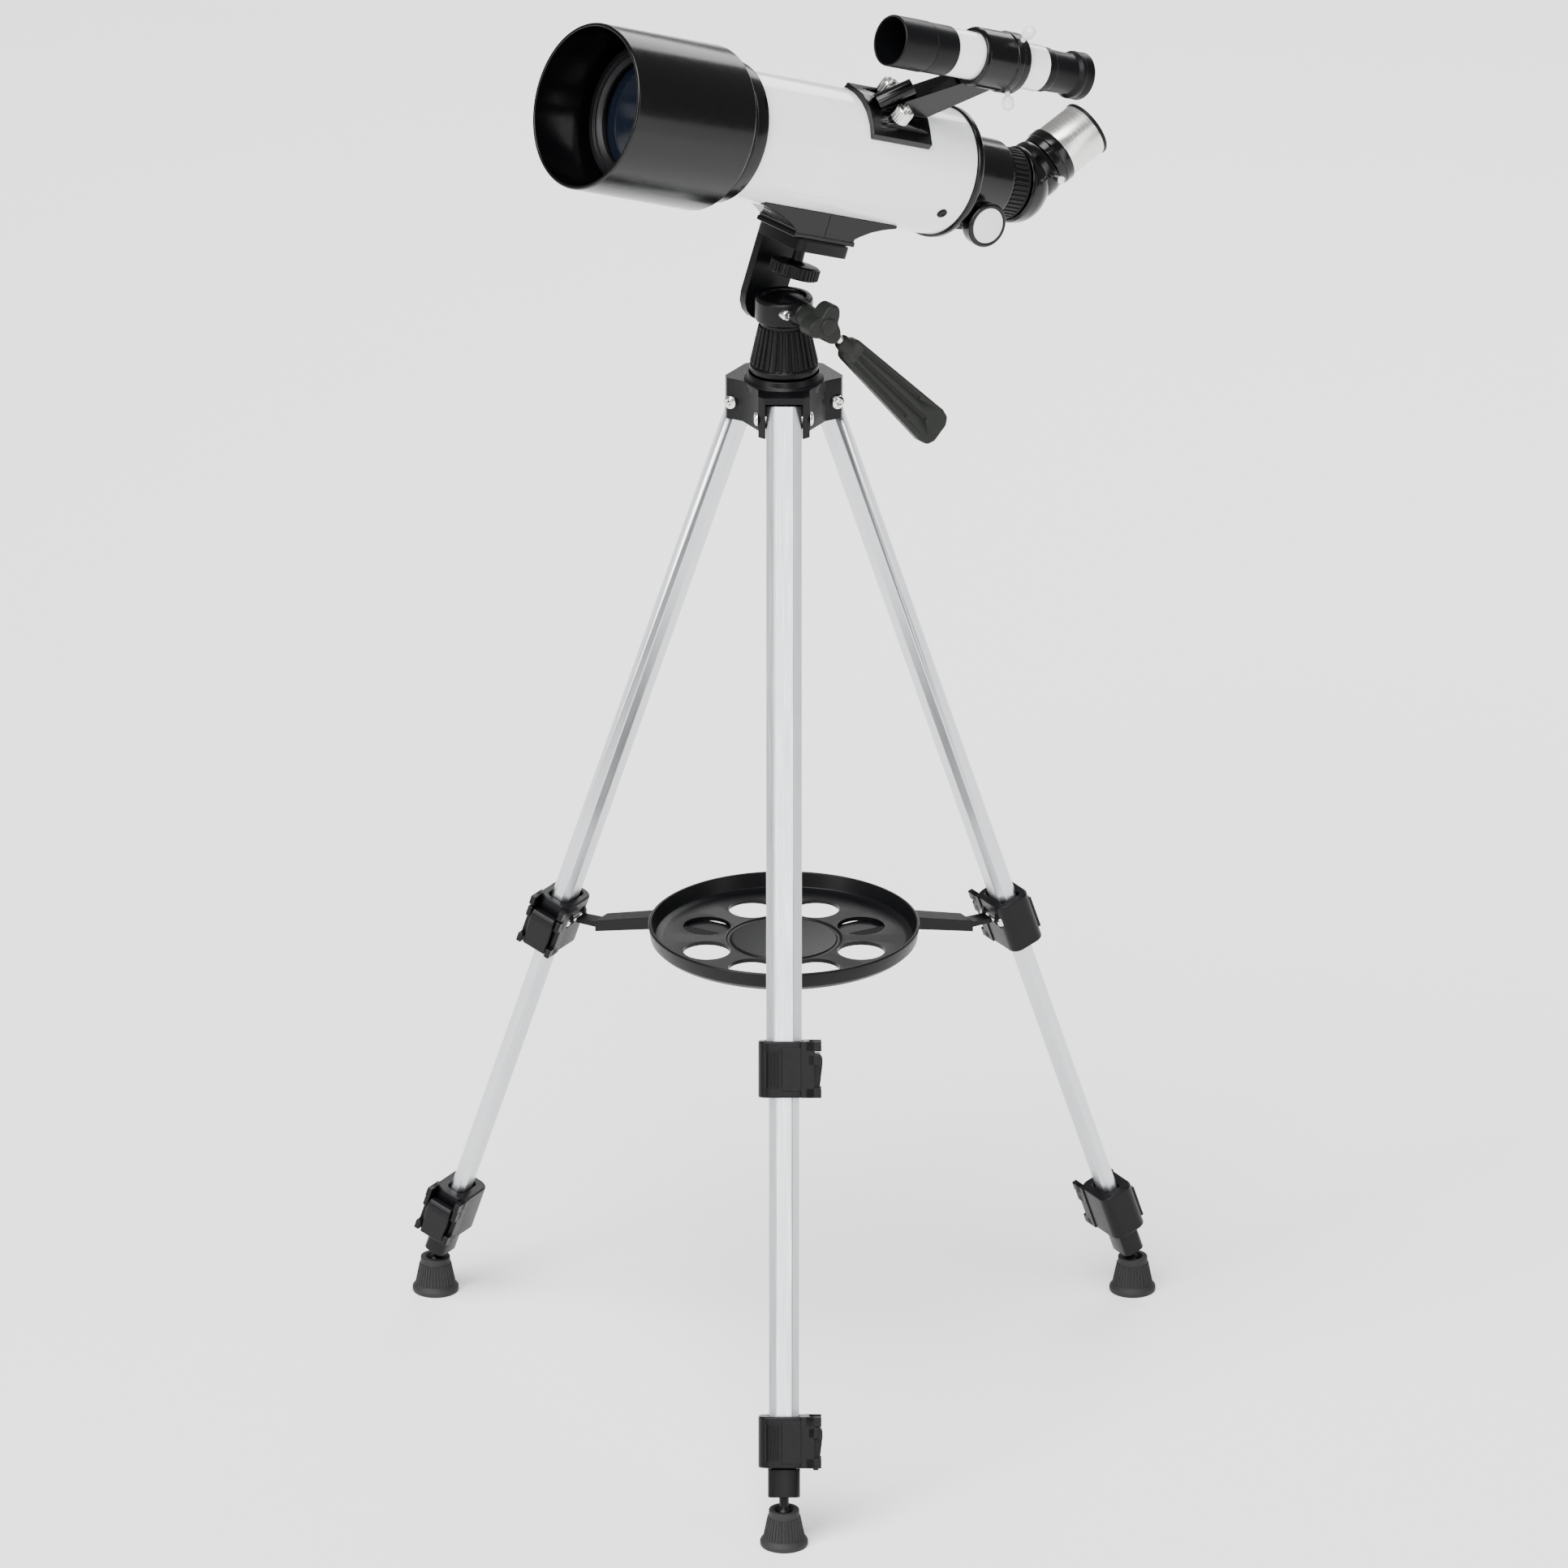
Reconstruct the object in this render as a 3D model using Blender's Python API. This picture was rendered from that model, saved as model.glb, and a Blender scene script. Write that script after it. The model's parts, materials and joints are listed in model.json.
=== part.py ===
"""A 70 mm class refracting telescope on its aluminium field tripod.

Metres, +Z up. The origin is on the ground, under the middle of the whole object.
"""

import math

import bmesh
import bpy
from mathutils import Vector

MM = 0.001
GAP = 0.3 * MM

# Where the tripod's centre line stands from the middle of the whole object.
TRIPOD_X = 0.0 * MM
TRIPOD_Y = 60.0 * MM

# Tripod
LEG_AZIMUTHS = {"front": -90.0, "right": 30.0, "left": 150.0}
FORK_RADIUS = 28 * MM
FORK_HEIGHT = 640 * MM
LEG_SPLAY = math.radians(19.86)
UPPER_TUBE_SIZE = (13.0 * MM, 21.4 * MM)
MID_TUBE_SIZE = (9.8 * MM, 18.2 * MM)
LOWER_TUBE_SIZE = (6.6 * MM, 15.0 * MM)
TUBE_WALL = 1.2 * MM
UPPER_TUBE_END = 390 * MM
MID_TUBE_END = 616 * MM
ANKLE = 659 * MM
FOOT_RADIUS = 14.5 * MM
FORK_SLOT = 22.2 * MM

# Tray and its three arms
TRAY_RADIUS = 83 * MM
TRAY_TOP = 301 * MM
TRAY_DEPTH = 13 * MM
HOLE_CIRCLE = 51 * MM
HOLE_RADIUS = 14.5 * MM
ARM_DEPTH = 8 * MM
ARM_REACH = 145 * MM
BRACE_PIN_RADIUS = 149 * MM
BRACE_PIN_HEIGHT = 274 * MM

# Head
PAN_HEIGHT = 693.2 * MM
TILT_HEIGHT = 702 * MM
DRUM_RADIUS = 17.5 * MM
POINTING = 215.5
ALTITUDE = 20.0
HANDLE_SIDE = 40 * MM
HANDLE_DROP = math.radians(25.8)

# Optical tube, measured along its axis from above the tilt axis, front positive
OPTICAL_AXIS_RISE = 97.5 * MM
TUBE_RADIUS = 39 * MM
TUBE_REAR = -84 * MM
TUBE_FRONT = 138 * MM
SHIELD_RADIUS = 50 * MM
SHIELD_FRONT = 189 * MM
PINION_X = -105 * MM
PINION_DROP = 21.5 * MM
DRAW_RADIUS = 17.6 * MM
BEND_X = -147 * MM
FINDER_LEAN = math.radians(-30)
FINDER_RISE = 92 * MM

ROUND = 28
SMALL_ROUND = 20


def clear_scene():
    for item in list(bpy.data.objects):
        bpy.data.objects.remove(item, do_unlink=True)


def finish(name, colour, roughness, metallic=0.0):
    made = bpy.data.materials.new(name)
    made.use_nodes = True
    shader = made.node_tree.nodes["Principled BSDF"]
    shader.inputs["Base Color"].default_value = (*colour, 1.0)
    shader.inputs["Roughness"].default_value = roughness
    shader.inputs["Metallic"].default_value = metallic
    return made


clear_scene()
GLOSS_BLACK = finish("gloss_black", (0.012, 0.012, 0.013), 0.22)
SATIN_BLACK = finish("satin_black", (0.018, 0.018, 0.019), 0.42)
RUBBER = finish("rubber_black", (0.015, 0.015, 0.015), 0.75)
WHITE = finish("white_enamel", (0.86, 0.87, 0.88), 0.18)
ALUMINIUM = finish("leg_aluminium", (0.62, 0.63, 0.64), 0.34, 1.0)
STEEL = finish("bright_steel", (0.68, 0.68, 0.67), 0.2, 1.0)
GLASS = finish("coated_glass", (0.16, 0.2, 0.32), 0.03)


def frame_at(name, parent=None, place=(0, 0, 0), turn=(0, 0, 0)):
    """An empty that carries the pieces of one joint or one assembly."""
    made = bpy.data.objects.new(name, None)
    bpy.context.scene.collection.objects.link(made)
    made.parent = parent
    made.location = place
    made.rotation_euler = turn
    return made


def solid(name, mesh, parent, material):
    bmesh.ops.remove_doubles(mesh, verts=mesh.verts, dist=1e-6)
    bmesh.ops.recalc_face_normals(mesh, faces=mesh.faces)
    data = bpy.data.meshes.new(name)
    mesh.to_mesh(data)
    mesh.free()
    made = bpy.data.objects.new(name, data)
    bpy.context.scene.collection.objects.link(made)
    made.parent = parent
    data.shade_smooth()
    data.set_sharp_from_angle(angle=math.radians(32))
    data.materials.append(material)
    return made


def turned(name, outline, parent, material, along="Z", steps=ROUND, place=(0, 0, 0)):
    """A round piece: the outline's (distance along the axis, radius) pairs, turned once round."""
    axis = {"X": Vector((1, 0, 0)), "Y": Vector((0, 1, 0)), "Z": Vector((0, 0, 1))}[along]
    outward = {"X": Vector((0, 0, 1)), "Y": Vector((0, 0, 1)), "Z": Vector((1, 0, 0))}[along]
    mesh = bmesh.new()
    centre = Vector(place)
    ring = [mesh.verts.new(centre + axis * reach + outward * radius) for reach, radius in outline]
    on_axis = outline[0][1] == 0 and outline[-1][1] == 0
    pairs = list(zip(ring, ring[1:])) + ([] if on_axis else [(ring[-1], ring[0])])
    edges = [mesh.edges.new(pair) for pair in pairs]
    bmesh.ops.spin(
        mesh,
        geom=ring + edges,
        cent=centre,
        axis=axis,
        angle=math.tau,
        steps=steps,
        use_merge=True,
    )
    return solid(name, mesh, parent, material)


def prism(name, outline, low, high, parent, material, across="Z"):
    """An outline pushed straight from low to high along one axis."""
    mesh = bmesh.new()

    def spot(u, v, w):
        return {"X": (w, u, v), "Y": (u, w, v), "Z": (u, v, w)}[across]

    face = mesh.faces.new([mesh.verts.new(spot(u, v, low)) for u, v in outline])
    grown = bmesh.ops.extrude_face_region(mesh, geom=[face])
    moved = [item for item in grown["geom"] if isinstance(item, bmesh.types.BMVert)]
    bmesh.ops.translate(mesh, verts=moved, vec=Vector(spot(0, 0, high - low)))
    bmesh.ops.recalc_face_normals(mesh, faces=mesh.faces)
    return solid(name, mesh, parent, material)


def rounded_box(width, depth, radius, arc=3):
    """The outline of a rectangle with rounded corners, round its own middle."""
    points = []
    for corner in range(4):
        sign_x = 1 if corner in (0, 3) else -1
        sign_y = 1 if corner < 2 else -1
        for step in range(arc + 1):
            angle = math.radians(90 * corner + 90 * step / arc)
            x = sign_x * (width / 2 - radius) + radius * math.cos(angle)
            y = sign_y * (depth / 2 - radius) + radius * math.sin(angle)
            points.append((x, y))
    return points


def combine(target, other, how):
    """Cuts the other shape from the target, or fuses it to the target, and hides the helper."""
    step = target.modifiers.new(how.lower(), "BOOLEAN")
    step.operation = how
    step.solver = "EXACT"
    step.object = other
    other.hide_render = True
    other.display_type = "WIRE"
    return target


def cut(target, other):
    return combine(target, other, "DIFFERENCE")


def fuse(target, other):
    return combine(target, other, "UNION")


def hollow_tube(name, size, low, high, parent, material):
    """A flat-sided leg tube with rounded edges, open at both ends."""
    width, depth = size
    outside = rounded_box(width, depth, 3.2 * MM)
    inside = rounded_box(width - 2 * TUBE_WALL, depth - 2 * TUBE_WALL, 2.0 * MM)
    mesh = bmesh.new()
    rings = []
    for height in (low, high):
        for outline in (outside, inside):
            rings.append([mesh.verts.new((x, y, height)) for x, y in outline])
    bottom_out, bottom_in, top_out, top_in = rings
    count = len(outside)
    for here in range(count):
        after = (here + 1) % count
        mesh.faces.new((bottom_out[here], bottom_out[after], top_out[after], top_out[here]))
        mesh.faces.new((bottom_in[here], bottom_in[after], top_in[after], top_in[here]))
        mesh.faces.new((bottom_out[here], bottom_out[after], bottom_in[after], bottom_in[here]))
        mesh.faces.new((top_out[here], top_out[after], top_in[after], top_in[here]))
    return solid(name, mesh, parent, material)


def grown(size, by):
    return size[0] + 2 * by, size[1] + 2 * by


def build_crown(stand):
    """The tripod's top casting: a three-armed block with a slot for each leg."""
    arm_reach = 34 * MM
    arm_half = 15.5 * MM
    low = 629 * MM
    shoulder = 655 * MM
    outline = []
    for azimuth in sorted(LEG_AZIMUTHS.values()):
        turn = math.radians(azimuth)
        corners = [
            (20 * MM, -arm_half),
            (arm_reach - 3 * MM, -arm_half),
            (arm_reach, -arm_half + 3.5 * MM),
            (arm_reach, arm_half - 3.5 * MM),
            (arm_reach - 3 * MM, arm_half),
            (20 * MM, arm_half),
        ]
        for out, side in corners:
            x = out * math.cos(turn) - side * math.sin(turn)
            y = out * math.sin(turn) + side * math.cos(turn)
            outline.append((x, y))
    crown = prism("tripod_crown", outline, low, shoulder, stand, SATIN_BLACK)
    hub = [(shoulder - 4 * MM, 0), (shoulder - 4 * MM, 23 * MM), (660.5 * MM, 21.5 * MM), (660.5 * MM, 0)]
    fuse(crown, turned("crown_hub", hub, stand, SATIN_BLACK))
    for place, azimuth in LEG_AZIMUTHS.items():
        side = frame_at("crown_side_" + place, stand, turn=(0, 0, math.radians(azimuth)))
        half = FORK_SLOT / 2
        slot = [(16.5 * MM, -half), (50 * MM, -half), (50 * MM, half), (16.5 * MM, half)]
        cut(crown, prism("crown_slot_" + place, slot, low - 5 * MM, 651 * MM, side, SATIN_BLACK))
        bore = [(-30 * MM, 0), (-30 * MM, 2.9 * MM), (30 * MM, 2.9 * MM), (30 * MM, 0)]
        spot = (FORK_RADIUS, 0, FORK_HEIGHT)
        cut(crown, turned("crown_bore_" + place, bore, side, SATIN_BLACK, "Y", 12, spot))
        half_screw = arm_half + GAP
        screw = [
            (-half_screw - 2.2 * MM, 0),
            (-half_screw - 2.2 * MM, 3.4 * MM),
            (-half_screw - 1.2 * MM, 4.6 * MM),
            (-half_screw, 4.6 * MM),
            (-half_screw, 2.5 * MM),
            (half_screw, 2.5 * MM),
            (half_screw, 4.4 * MM),
            (half_screw + 2.0 * MM, 3.8 * MM),
            (half_screw + 2.0 * MM, 0),
        ]
        turned("fork_screw_" + place, screw, side, STEEL, "Y", 12, spot)
    socket = [(640 * MM, 0), (640 * MM, 4.4 * MM), (670 * MM, 4.4 * MM), (670 * MM, 0)]
    cut(crown, turned("crown_socket", socket, stand, SATIN_BLACK, steps=SMALL_ROUND))


def lever(name, parent, half_width):
    """A short cam lever that lies along the clamp and turns at its thick end."""
    outline = [
        (-2.2 * MM, 3.2 * MM),
        (-3.6 * MM, 0.6 * MM),
        (-3.6 * MM, -3 * MM),
        (-2.2 * MM, -23 * MM),
        (1.2 * MM, -23 * MM),
        (3.6 * MM, -3 * MM),
        (3.6 * MM, 0.6 * MM),
        (2.2 * MM, 3.2 * MM),
    ]
    return prism(name, outline, -half_width, half_width, parent, SATIN_BLACK, "X")


def build_clamp(name, leg, low, high, outer, inner, split):
    """A clamp sleeve round two tubes that telescope: the larger bore stops at the split."""
    body = prism(name, rounded_box(23 * MM, 31 * MM, 4 * MM), -high, -low, leg, SATIN_BLACK)
    wide = rounded_box(*grown(outer, GAP), 3.5 * MM)
    narrow = rounded_box(*grown(inner, GAP), 3.5 * MM)
    cut(body, prism(name + "_wide", wide, -split, -low + 5 * MM, leg, SATIN_BLACK))
    cut(body, prism(name + "_narrow", narrow, -high - 5 * MM, -split + 5 * MM, leg, SATIN_BLACK))
    lug_low = -(low + high) / 2 - 8 * MM
    for index, face in enumerate((10.6 * MM, -10.6 * MM)):
        outline = [
            (face - 2 * MM, 14.5 * MM),
            (face + 2 * MM, 14.5 * MM),
            (face + 2 * MM, 23.5 * MM),
            (face - 2 * MM, 23.5 * MM),
        ]
        lug = prism(name + "_lug_" + str(index), outline, lug_low, lug_low + 16 * MM, leg, SATIN_BLACK)
        fuse(body, lug)
    return body


def build_leg(stand, place, azimuth):
    side = frame_at("side_" + place, stand, turn=(0, 0, math.radians(azimuth)))
    leg = frame_at(
        "leg_axis_" + place,
        side,
        (FORK_RADIUS, 0, FORK_HEIGHT),
        (0, -LEG_SPLAY, 0),
    )
    upper = hollow_tube(
        "upper_tube_" + place, UPPER_TUBE_SIZE, -UPPER_TUBE_END, 7.5 * MM, leg, ALUMINIUM
    )
    bore = [(-20 * MM, 0), (-20 * MM, 2.9 * MM), (20 * MM, 2.9 * MM), (20 * MM, 0)]
    cut(upper, turned("upper_bore_" + place, bore, leg, ALUMINIUM, "Y", 12))
    clamp = build_clamp(
        "upper_clamp_" + place, leg, 374 * MM, 408 * MM, UPPER_TUBE_SIZE, MID_TUBE_SIZE, 390.5 * MM
    )
    # Two brace lugs on the inner side hold the pin that the tray's arm meets.
    out = BRACE_PIN_RADIUS - FORK_RADIUS
    drop = FORK_HEIGHT - BRACE_PIN_HEIGHT
    pin_x = out * math.cos(LEG_SPLAY) - drop * math.sin(LEG_SPLAY)
    pin_z = -out * math.sin(LEG_SPLAY) - drop * math.cos(LEG_SPLAY)
    for sign in (-1, 1):
        outline = [
            (-10 * MM, pin_z + 8 * MM),
            (-10 * MM, pin_z - 8 * MM),
            (pin_x - 2 * MM, pin_z - 4 * MM),
            (pin_x - 4 * MM, pin_z),
            (pin_x - 2 * MM, pin_z + 4 * MM),
        ]
        edges = sorted((sign * 6.4 * MM, sign * 9 * MM))
        lug_name = "brace_lug_" + place + ("_a" if sign < 0 else "_b")
        fuse(clamp, prism(lug_name, outline, edges[0], edges[1], leg, SATIN_BLACK, "Y"))
    pin = [(-11 * MM, 0), (-11 * MM, 2.2 * MM), (11 * MM, 2.2 * MM), (11 * MM, 0)]
    fuse(clamp, turned("brace_pin_" + place, pin, leg, STEEL, "Y", 10, (pin_x, 0, pin_z)))
    hollow_tube("mid_tube_" + place, MID_TUBE_SIZE, -MID_TUBE_END, -330 * MM, leg, ALUMINIUM)
    build_clamp(
        "lower_clamp_" + place, leg, 600 * MM, 631 * MM, MID_TUBE_SIZE, LOWER_TUBE_SIZE, 616.5 * MM
    )
    build_lower_tube(leg, place)
    for level, middle in (("upper", 391 * MM), ("lower", 615.5 * MM)):
        cam = frame_at(level + "_cam_" + place, leg, (0, 19.6 * MM, -middle + 6 * MM))
        lever(level + "_lever_" + place, cam, 8.2 * MM)
    ankle = frame_at("ankle_" + place, leg, (0, 0, -ANKLE), (0, LEG_SPLAY, 0))
    build_foot(ankle, place)


def build_lower_tube(leg, place):
    """The innermost tube, which ends in a plug and a ball for the foot."""
    width, depth = LOWER_TUBE_SIZE
    tube = prism(
        "lower_tube_" + place,
        rounded_box(width, depth, 2.6 * MM),
        -640 * MM,
        -400 * MM,
        leg,
        SATIN_BLACK,
    )
    plug = rounded_box(14 * MM, 19.5 * MM, 3.5 * MM)
    fuse(tube, prism("plug_" + place, plug, -649 * MM, -632 * MM, leg, SATIN_BLACK))
    ball_radius = 4.4 * MM
    ball = [(-ANKLE - ball_radius, 0)]
    for step in range(1, 8):
        angle = math.radians(-90 + 20 * step)
        ball.append((-ANKLE + ball_radius * math.sin(angle), ball_radius * math.cos(angle)))
    ball += [(-645 * MM, 3.2 * MM), (-645 * MM, 0)]
    fuse(tube, turned("ball_" + place, ball, leg, SATIN_BLACK, steps=12))


def build_foot(ankle, place):
    """A rubber cone with a flared base, hollowed at the top for the ball."""
    height = FORK_HEIGHT - ANKLE * math.cos(LEG_SPLAY)
    outline = [
        (-height, 0),
        (-height, FOOT_RADIUS),
        (-height + 3 * MM, FOOT_RADIUS),
        (-height + 5 * MM, 12.6 * MM),
        (3 * MM, 9.4 * MM),
        (3 * MM, 6.2 * MM),
        (0, 4.9 * MM),
        (-5 * MM, 4.9 * MM),
        (-5 * MM, 0),
    ]
    turned("foot_" + place, outline, ankle, RUBBER, steps=24)


def build_tray(stand):
    """The round accessory tray, its holes, the ring groove, and the flat arms below it."""
    carrier = frame_at("tray_axis", stand, (0, 0, TRAY_TOP))
    outline = [
        (-TRAY_DEPTH, 0),
        (-TRAY_DEPTH, TRAY_RADIUS - 6 * MM),
        (-TRAY_DEPTH + 4 * MM, TRAY_RADIUS - 1.5 * MM),
        (0, TRAY_RADIUS),
        (0, TRAY_RADIUS - 2.2 * MM),
        (-TRAY_DEPTH + 3.5 * MM, TRAY_RADIUS - 6 * MM),
        (-TRAY_DEPTH + 2.5 * MM, TRAY_RADIUS - 8 * MM),
        (-TRAY_DEPTH + 2.5 * MM, 0),
    ]
    tray = turned("accessory_tray", outline, carrier, SATIN_BLACK)
    for index in range(8):
        angle = math.radians(45 * index + 22.5)
        spot = (HOLE_CIRCLE * math.cos(angle), HOLE_CIRCLE * math.sin(angle), 0)
        hole = [(-20 * MM, 0), (-20 * MM, HOLE_RADIUS), (5 * MM, HOLE_RADIUS), (5 * MM, 0)]
        cut(tray, turned("tray_hole_" + str(index), hole, carrier, SATIN_BLACK, "Z", 24, spot))
    middle_hole = [(-20 * MM, 0), (-20 * MM, 3.4 * MM), (5 * MM, 3.4 * MM), (5 * MM, 0)]
    cut(tray, turned("tray_screw_hole", middle_hole, carrier, SATIN_BLACK, steps=16))
    under = -TRAY_DEPTH - GAP
    screw = [
        (-24 * MM, 0),
        (-24 * MM, 3 * MM),
        (-TRAY_DEPTH + 2.8 * MM, 3 * MM),
        (-TRAY_DEPTH + 2.8 * MM, 8 * MM),
        (-TRAY_DEPTH + 7 * MM, 6.5 * MM),
        (-TRAY_DEPTH + 7 * MM, 0),
    ]
    turned("tray_screw", screw, carrier, SATIN_BLACK, steps=16)
    for place, azimuth in LEG_AZIMUTHS.items():
        side = frame_at("arm_side_" + place, carrier, turn=(0, 0, math.radians(azimuth)))
        tip = BRACE_PIN_HEIGHT - TRAY_TOP
        wide = [
            (10 * MM, under - ARM_DEPTH),
            (92 * MM, under - ARM_DEPTH),
            (130 * MM, tip - 3.5 * MM),
            (130 * MM, tip + 3.5 * MM),
            (92 * MM, under),
            (10 * MM, under),
        ]
        arm = prism("tray_arm_" + place, wide, -7.5 * MM, 7.5 * MM, side, SATIN_BLACK, "Y")
        narrow = [
            (120 * MM, tip - 2 * MM),
            (ARM_REACH, tip - 1.5 * MM),
            (ARM_REACH, tip + 1.5 * MM),
            (120 * MM, tip + 2 * MM),
        ]
        fuse(arm, prism("arm_end_" + place, narrow, -5 * MM, 5 * MM, side, SATIN_BLACK, "Y"))


def build_head(stand):
    """The pan and tilt head, down to the tilting platform."""
    collar = [
        (661 * MM, 0),
        (661 * MM, 20 * MM),
        (665 * MM, 20.6 * MM),
        (692.5 * MM, 15 * MM),
        (692.5 * MM, 0),
    ]
    ribbed = turned("pan_lock_collar", collar, stand, SATIN_BLACK)
    bolt_hole = [(640 * MM, 0), (640 * MM, 4.4 * MM), (705 * MM, 4.4 * MM), (705 * MM, 0)]
    cut(ribbed, turned("collar_hole", bolt_hole, stand, SATIN_BLACK, steps=SMALL_ROUND))
    bolt = [(645 * MM, 0), (645 * MM, 4 * MM), (696 * MM, 4 * MM), (696 * MM, 0)]
    turned("pan_bolt", bolt, stand, STEEL, steps=SMALL_ROUND)
    pan = frame_at("pan_axis", stand, (0, 0, PAN_HEIGHT), (0, 0, math.radians(POINTING)))
    drum_top = TILT_HEIGHT - PAN_HEIGHT + 6.5 * MM
    drum_outline = [
        (0, 0),
        (0, DRUM_RADIUS - 1 * MM),
        (1 * MM, DRUM_RADIUS),
        (drum_top - 1 * MM, DRUM_RADIUS),
        (drum_top, DRUM_RADIUS - 1 * MM),
        (drum_top, 0),
    ]
    drum = turned("pan_base", drum_outline, pan, SATIN_BLACK)
    tilt_rise = TILT_HEIGHT - PAN_HEIGHT
    boss = [(0, 0), (0, 7.6 * MM), (23 * MM, 7.6 * MM), (23 * MM, 0)]
    axis_spot = (0, 0, tilt_rise)
    fuse(drum, turned("drum_boss", boss, pan, SATIN_BLACK, "Y", SMALL_ROUND, axis_spot))
    bore = [(-60 * MM, 0), (-60 * MM, 3.3 * MM), (60 * MM, 3.3 * MM), (60 * MM, 0)]
    cut(drum, turned("drum_bore", bore, pan, SATIN_BLACK, "Y", 16, axis_spot))
    pit = [(-5 * MM, 0), (-5 * MM, 4.4 * MM), (3.4 * MM, 4.4 * MM), (3.4 * MM, 0)]
    cut(drum, turned("drum_pit", pit, pan, SATIN_BLACK, steps=SMALL_ROUND))
    tilt = frame_at("tilt_axis", pan, axis_spot, (0, -math.radians(ALTITUDE), 0))
    build_tilt_bracket(tilt)
    return tilt


def build_tilt_bracket(tilt):
    """A side plate with a round lower end, and the platform it carries over the drum."""
    inner = -19.2 * MM
    outline = [(15 * MM, 0), (15 * MM, 45 * MM), (-15 * MM, 45 * MM), (-15 * MM, 0)]
    for step in range(1, 8):
        angle = math.radians(180 + 22.5 * step)
        outline.append((15 * MM * math.cos(angle), 15 * MM * math.sin(angle)))
    bracket = prism("tilt_bracket", outline, inner - 6 * MM, inner, tilt, SATIN_BLACK, "Y")
    top = prism(
        "platform", rounded_box(40 * MM, 46 * MM, 6 * MM), 38 * MM, 45 * MM, tilt, SATIN_BLACK
    )
    fuse(bracket, top)
    screw_hole = [(30 * MM, 0), (30 * MM, 3.6 * MM), (50 * MM, 3.6 * MM), (50 * MM, 0)]
    cut(bracket, turned("platform_hole", screw_hole, tilt, SATIN_BLACK, steps=16))
    bore = [(-40 * MM, 0), (-40 * MM, 3.3 * MM), (-5 * MM, 3.3 * MM), (-5 * MM, 0)]
    cut(bracket, turned("bracket_bore", bore, tilt, SATIN_BLACK, "Y", 16))
    bolt = [
        (-29.5 * MM, 0),
        (-29.5 * MM, 6 * MM),
        (-25.5 * MM, 6.6 * MM),
        (-25.5 * MM, 3 * MM),
        (31 * MM, 3 * MM),
        (31 * MM, 0),
    ]
    turned("tilt_bolt", bolt, tilt, STEEL, "Y", 16)
    build_handle(tilt)
    screw = [
        (20 * MM, 0),
        (20 * MM, 14.5 * MM),
        (21 * MM, 15.5 * MM),
        (24.5 * MM, 15.5 * MM),
        (25.5 * MM, 14.5 * MM),
        (25.5 * MM, 3.2 * MM),
        (54 * MM, 3.2 * MM),
        (54 * MM, 0),
    ]
    turned("camera_screw", screw, tilt, SATIN_BLACK, steps=24)


def build_handle(tilt):
    """The lobed hub on the tilt bolt, and the pan handle screwed into it."""
    lobes = []
    for step in range(30):
        angle = math.tau * step / 30
        reach = (11.0 + 2.6 * math.cos(3 * angle + 1.2)) * MM
        lobes.append((reach * math.cos(angle), reach * math.sin(angle)))
    near = 23.4 * MM
    hub = prism("handle_hub", lobes, HANDLE_SIDE - 7 * MM, HANDLE_SIDE + 7 * MM, tilt, SATIN_BLACK, "Y")
    neck = [(near, 0), (near, 7.2 * MM), (HANDLE_SIDE - 5 * MM, 6.4 * MM), (HANDLE_SIDE - 5 * MM, 0)]
    fuse(hub, turned("hub_neck", neck, tilt, SATIN_BLACK, "Y", SMALL_ROUND))
    bore = [(near - 5 * MM, 0), (near - 5 * MM, 3.3 * MM), (31.5 * MM, 3.3 * MM), (31.5 * MM, 0)]
    cut(hub, turned("hub_bore", bore, tilt, SATIN_BLACK, "Y", 16))
    # The handle's own axis is its X, which points back and down from the hub.
    grip = frame_at("handle_axis", tilt, (0, HANDLE_SIDE, 0), (0, math.pi - HANDLE_DROP, 0))
    socket = [(6 * MM, 0), (6 * MM, 3.2 * MM), (30 * MM, 3.2 * MM), (30 * MM, 0)]
    cut(hub, turned("hub_socket", socket, grip, SATIN_BLACK, "X", 12))
    start = 24 * MM
    end = 122 * MM
    blade = [
        (start, -5.5 * MM),
        (start + 3 * MM, -7.6 * MM),
        (end - 8 * MM, -12 * MM),
        (end - 2 * MM, -10 * MM),
        (end, -6 * MM),
        (end, 6 * MM),
        (end - 2 * MM, 10 * MM),
        (end - 8 * MM, 12 * MM),
        (start + 3 * MM, 7.6 * MM),
        (start, 5.5 * MM),
    ]
    paddle = prism("pan_handle", blade, -4.2 * MM, 4.2 * MM, grip, SATIN_BLACK, "Y")
    bevel = paddle.modifiers.new("edges", "BEVEL")
    bevel.width = 1.6 * MM
    bevel.segments = 2
    bevel.angle_limit = math.radians(60)
    rod = [(7 * MM, 0), (7 * MM, 2.8 * MM), (36 * MM, 2.8 * MM), (36 * MM, 0)]
    fuse(paddle, turned("handle_rod", rod, grip, STEEL, "X", 12))


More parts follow.
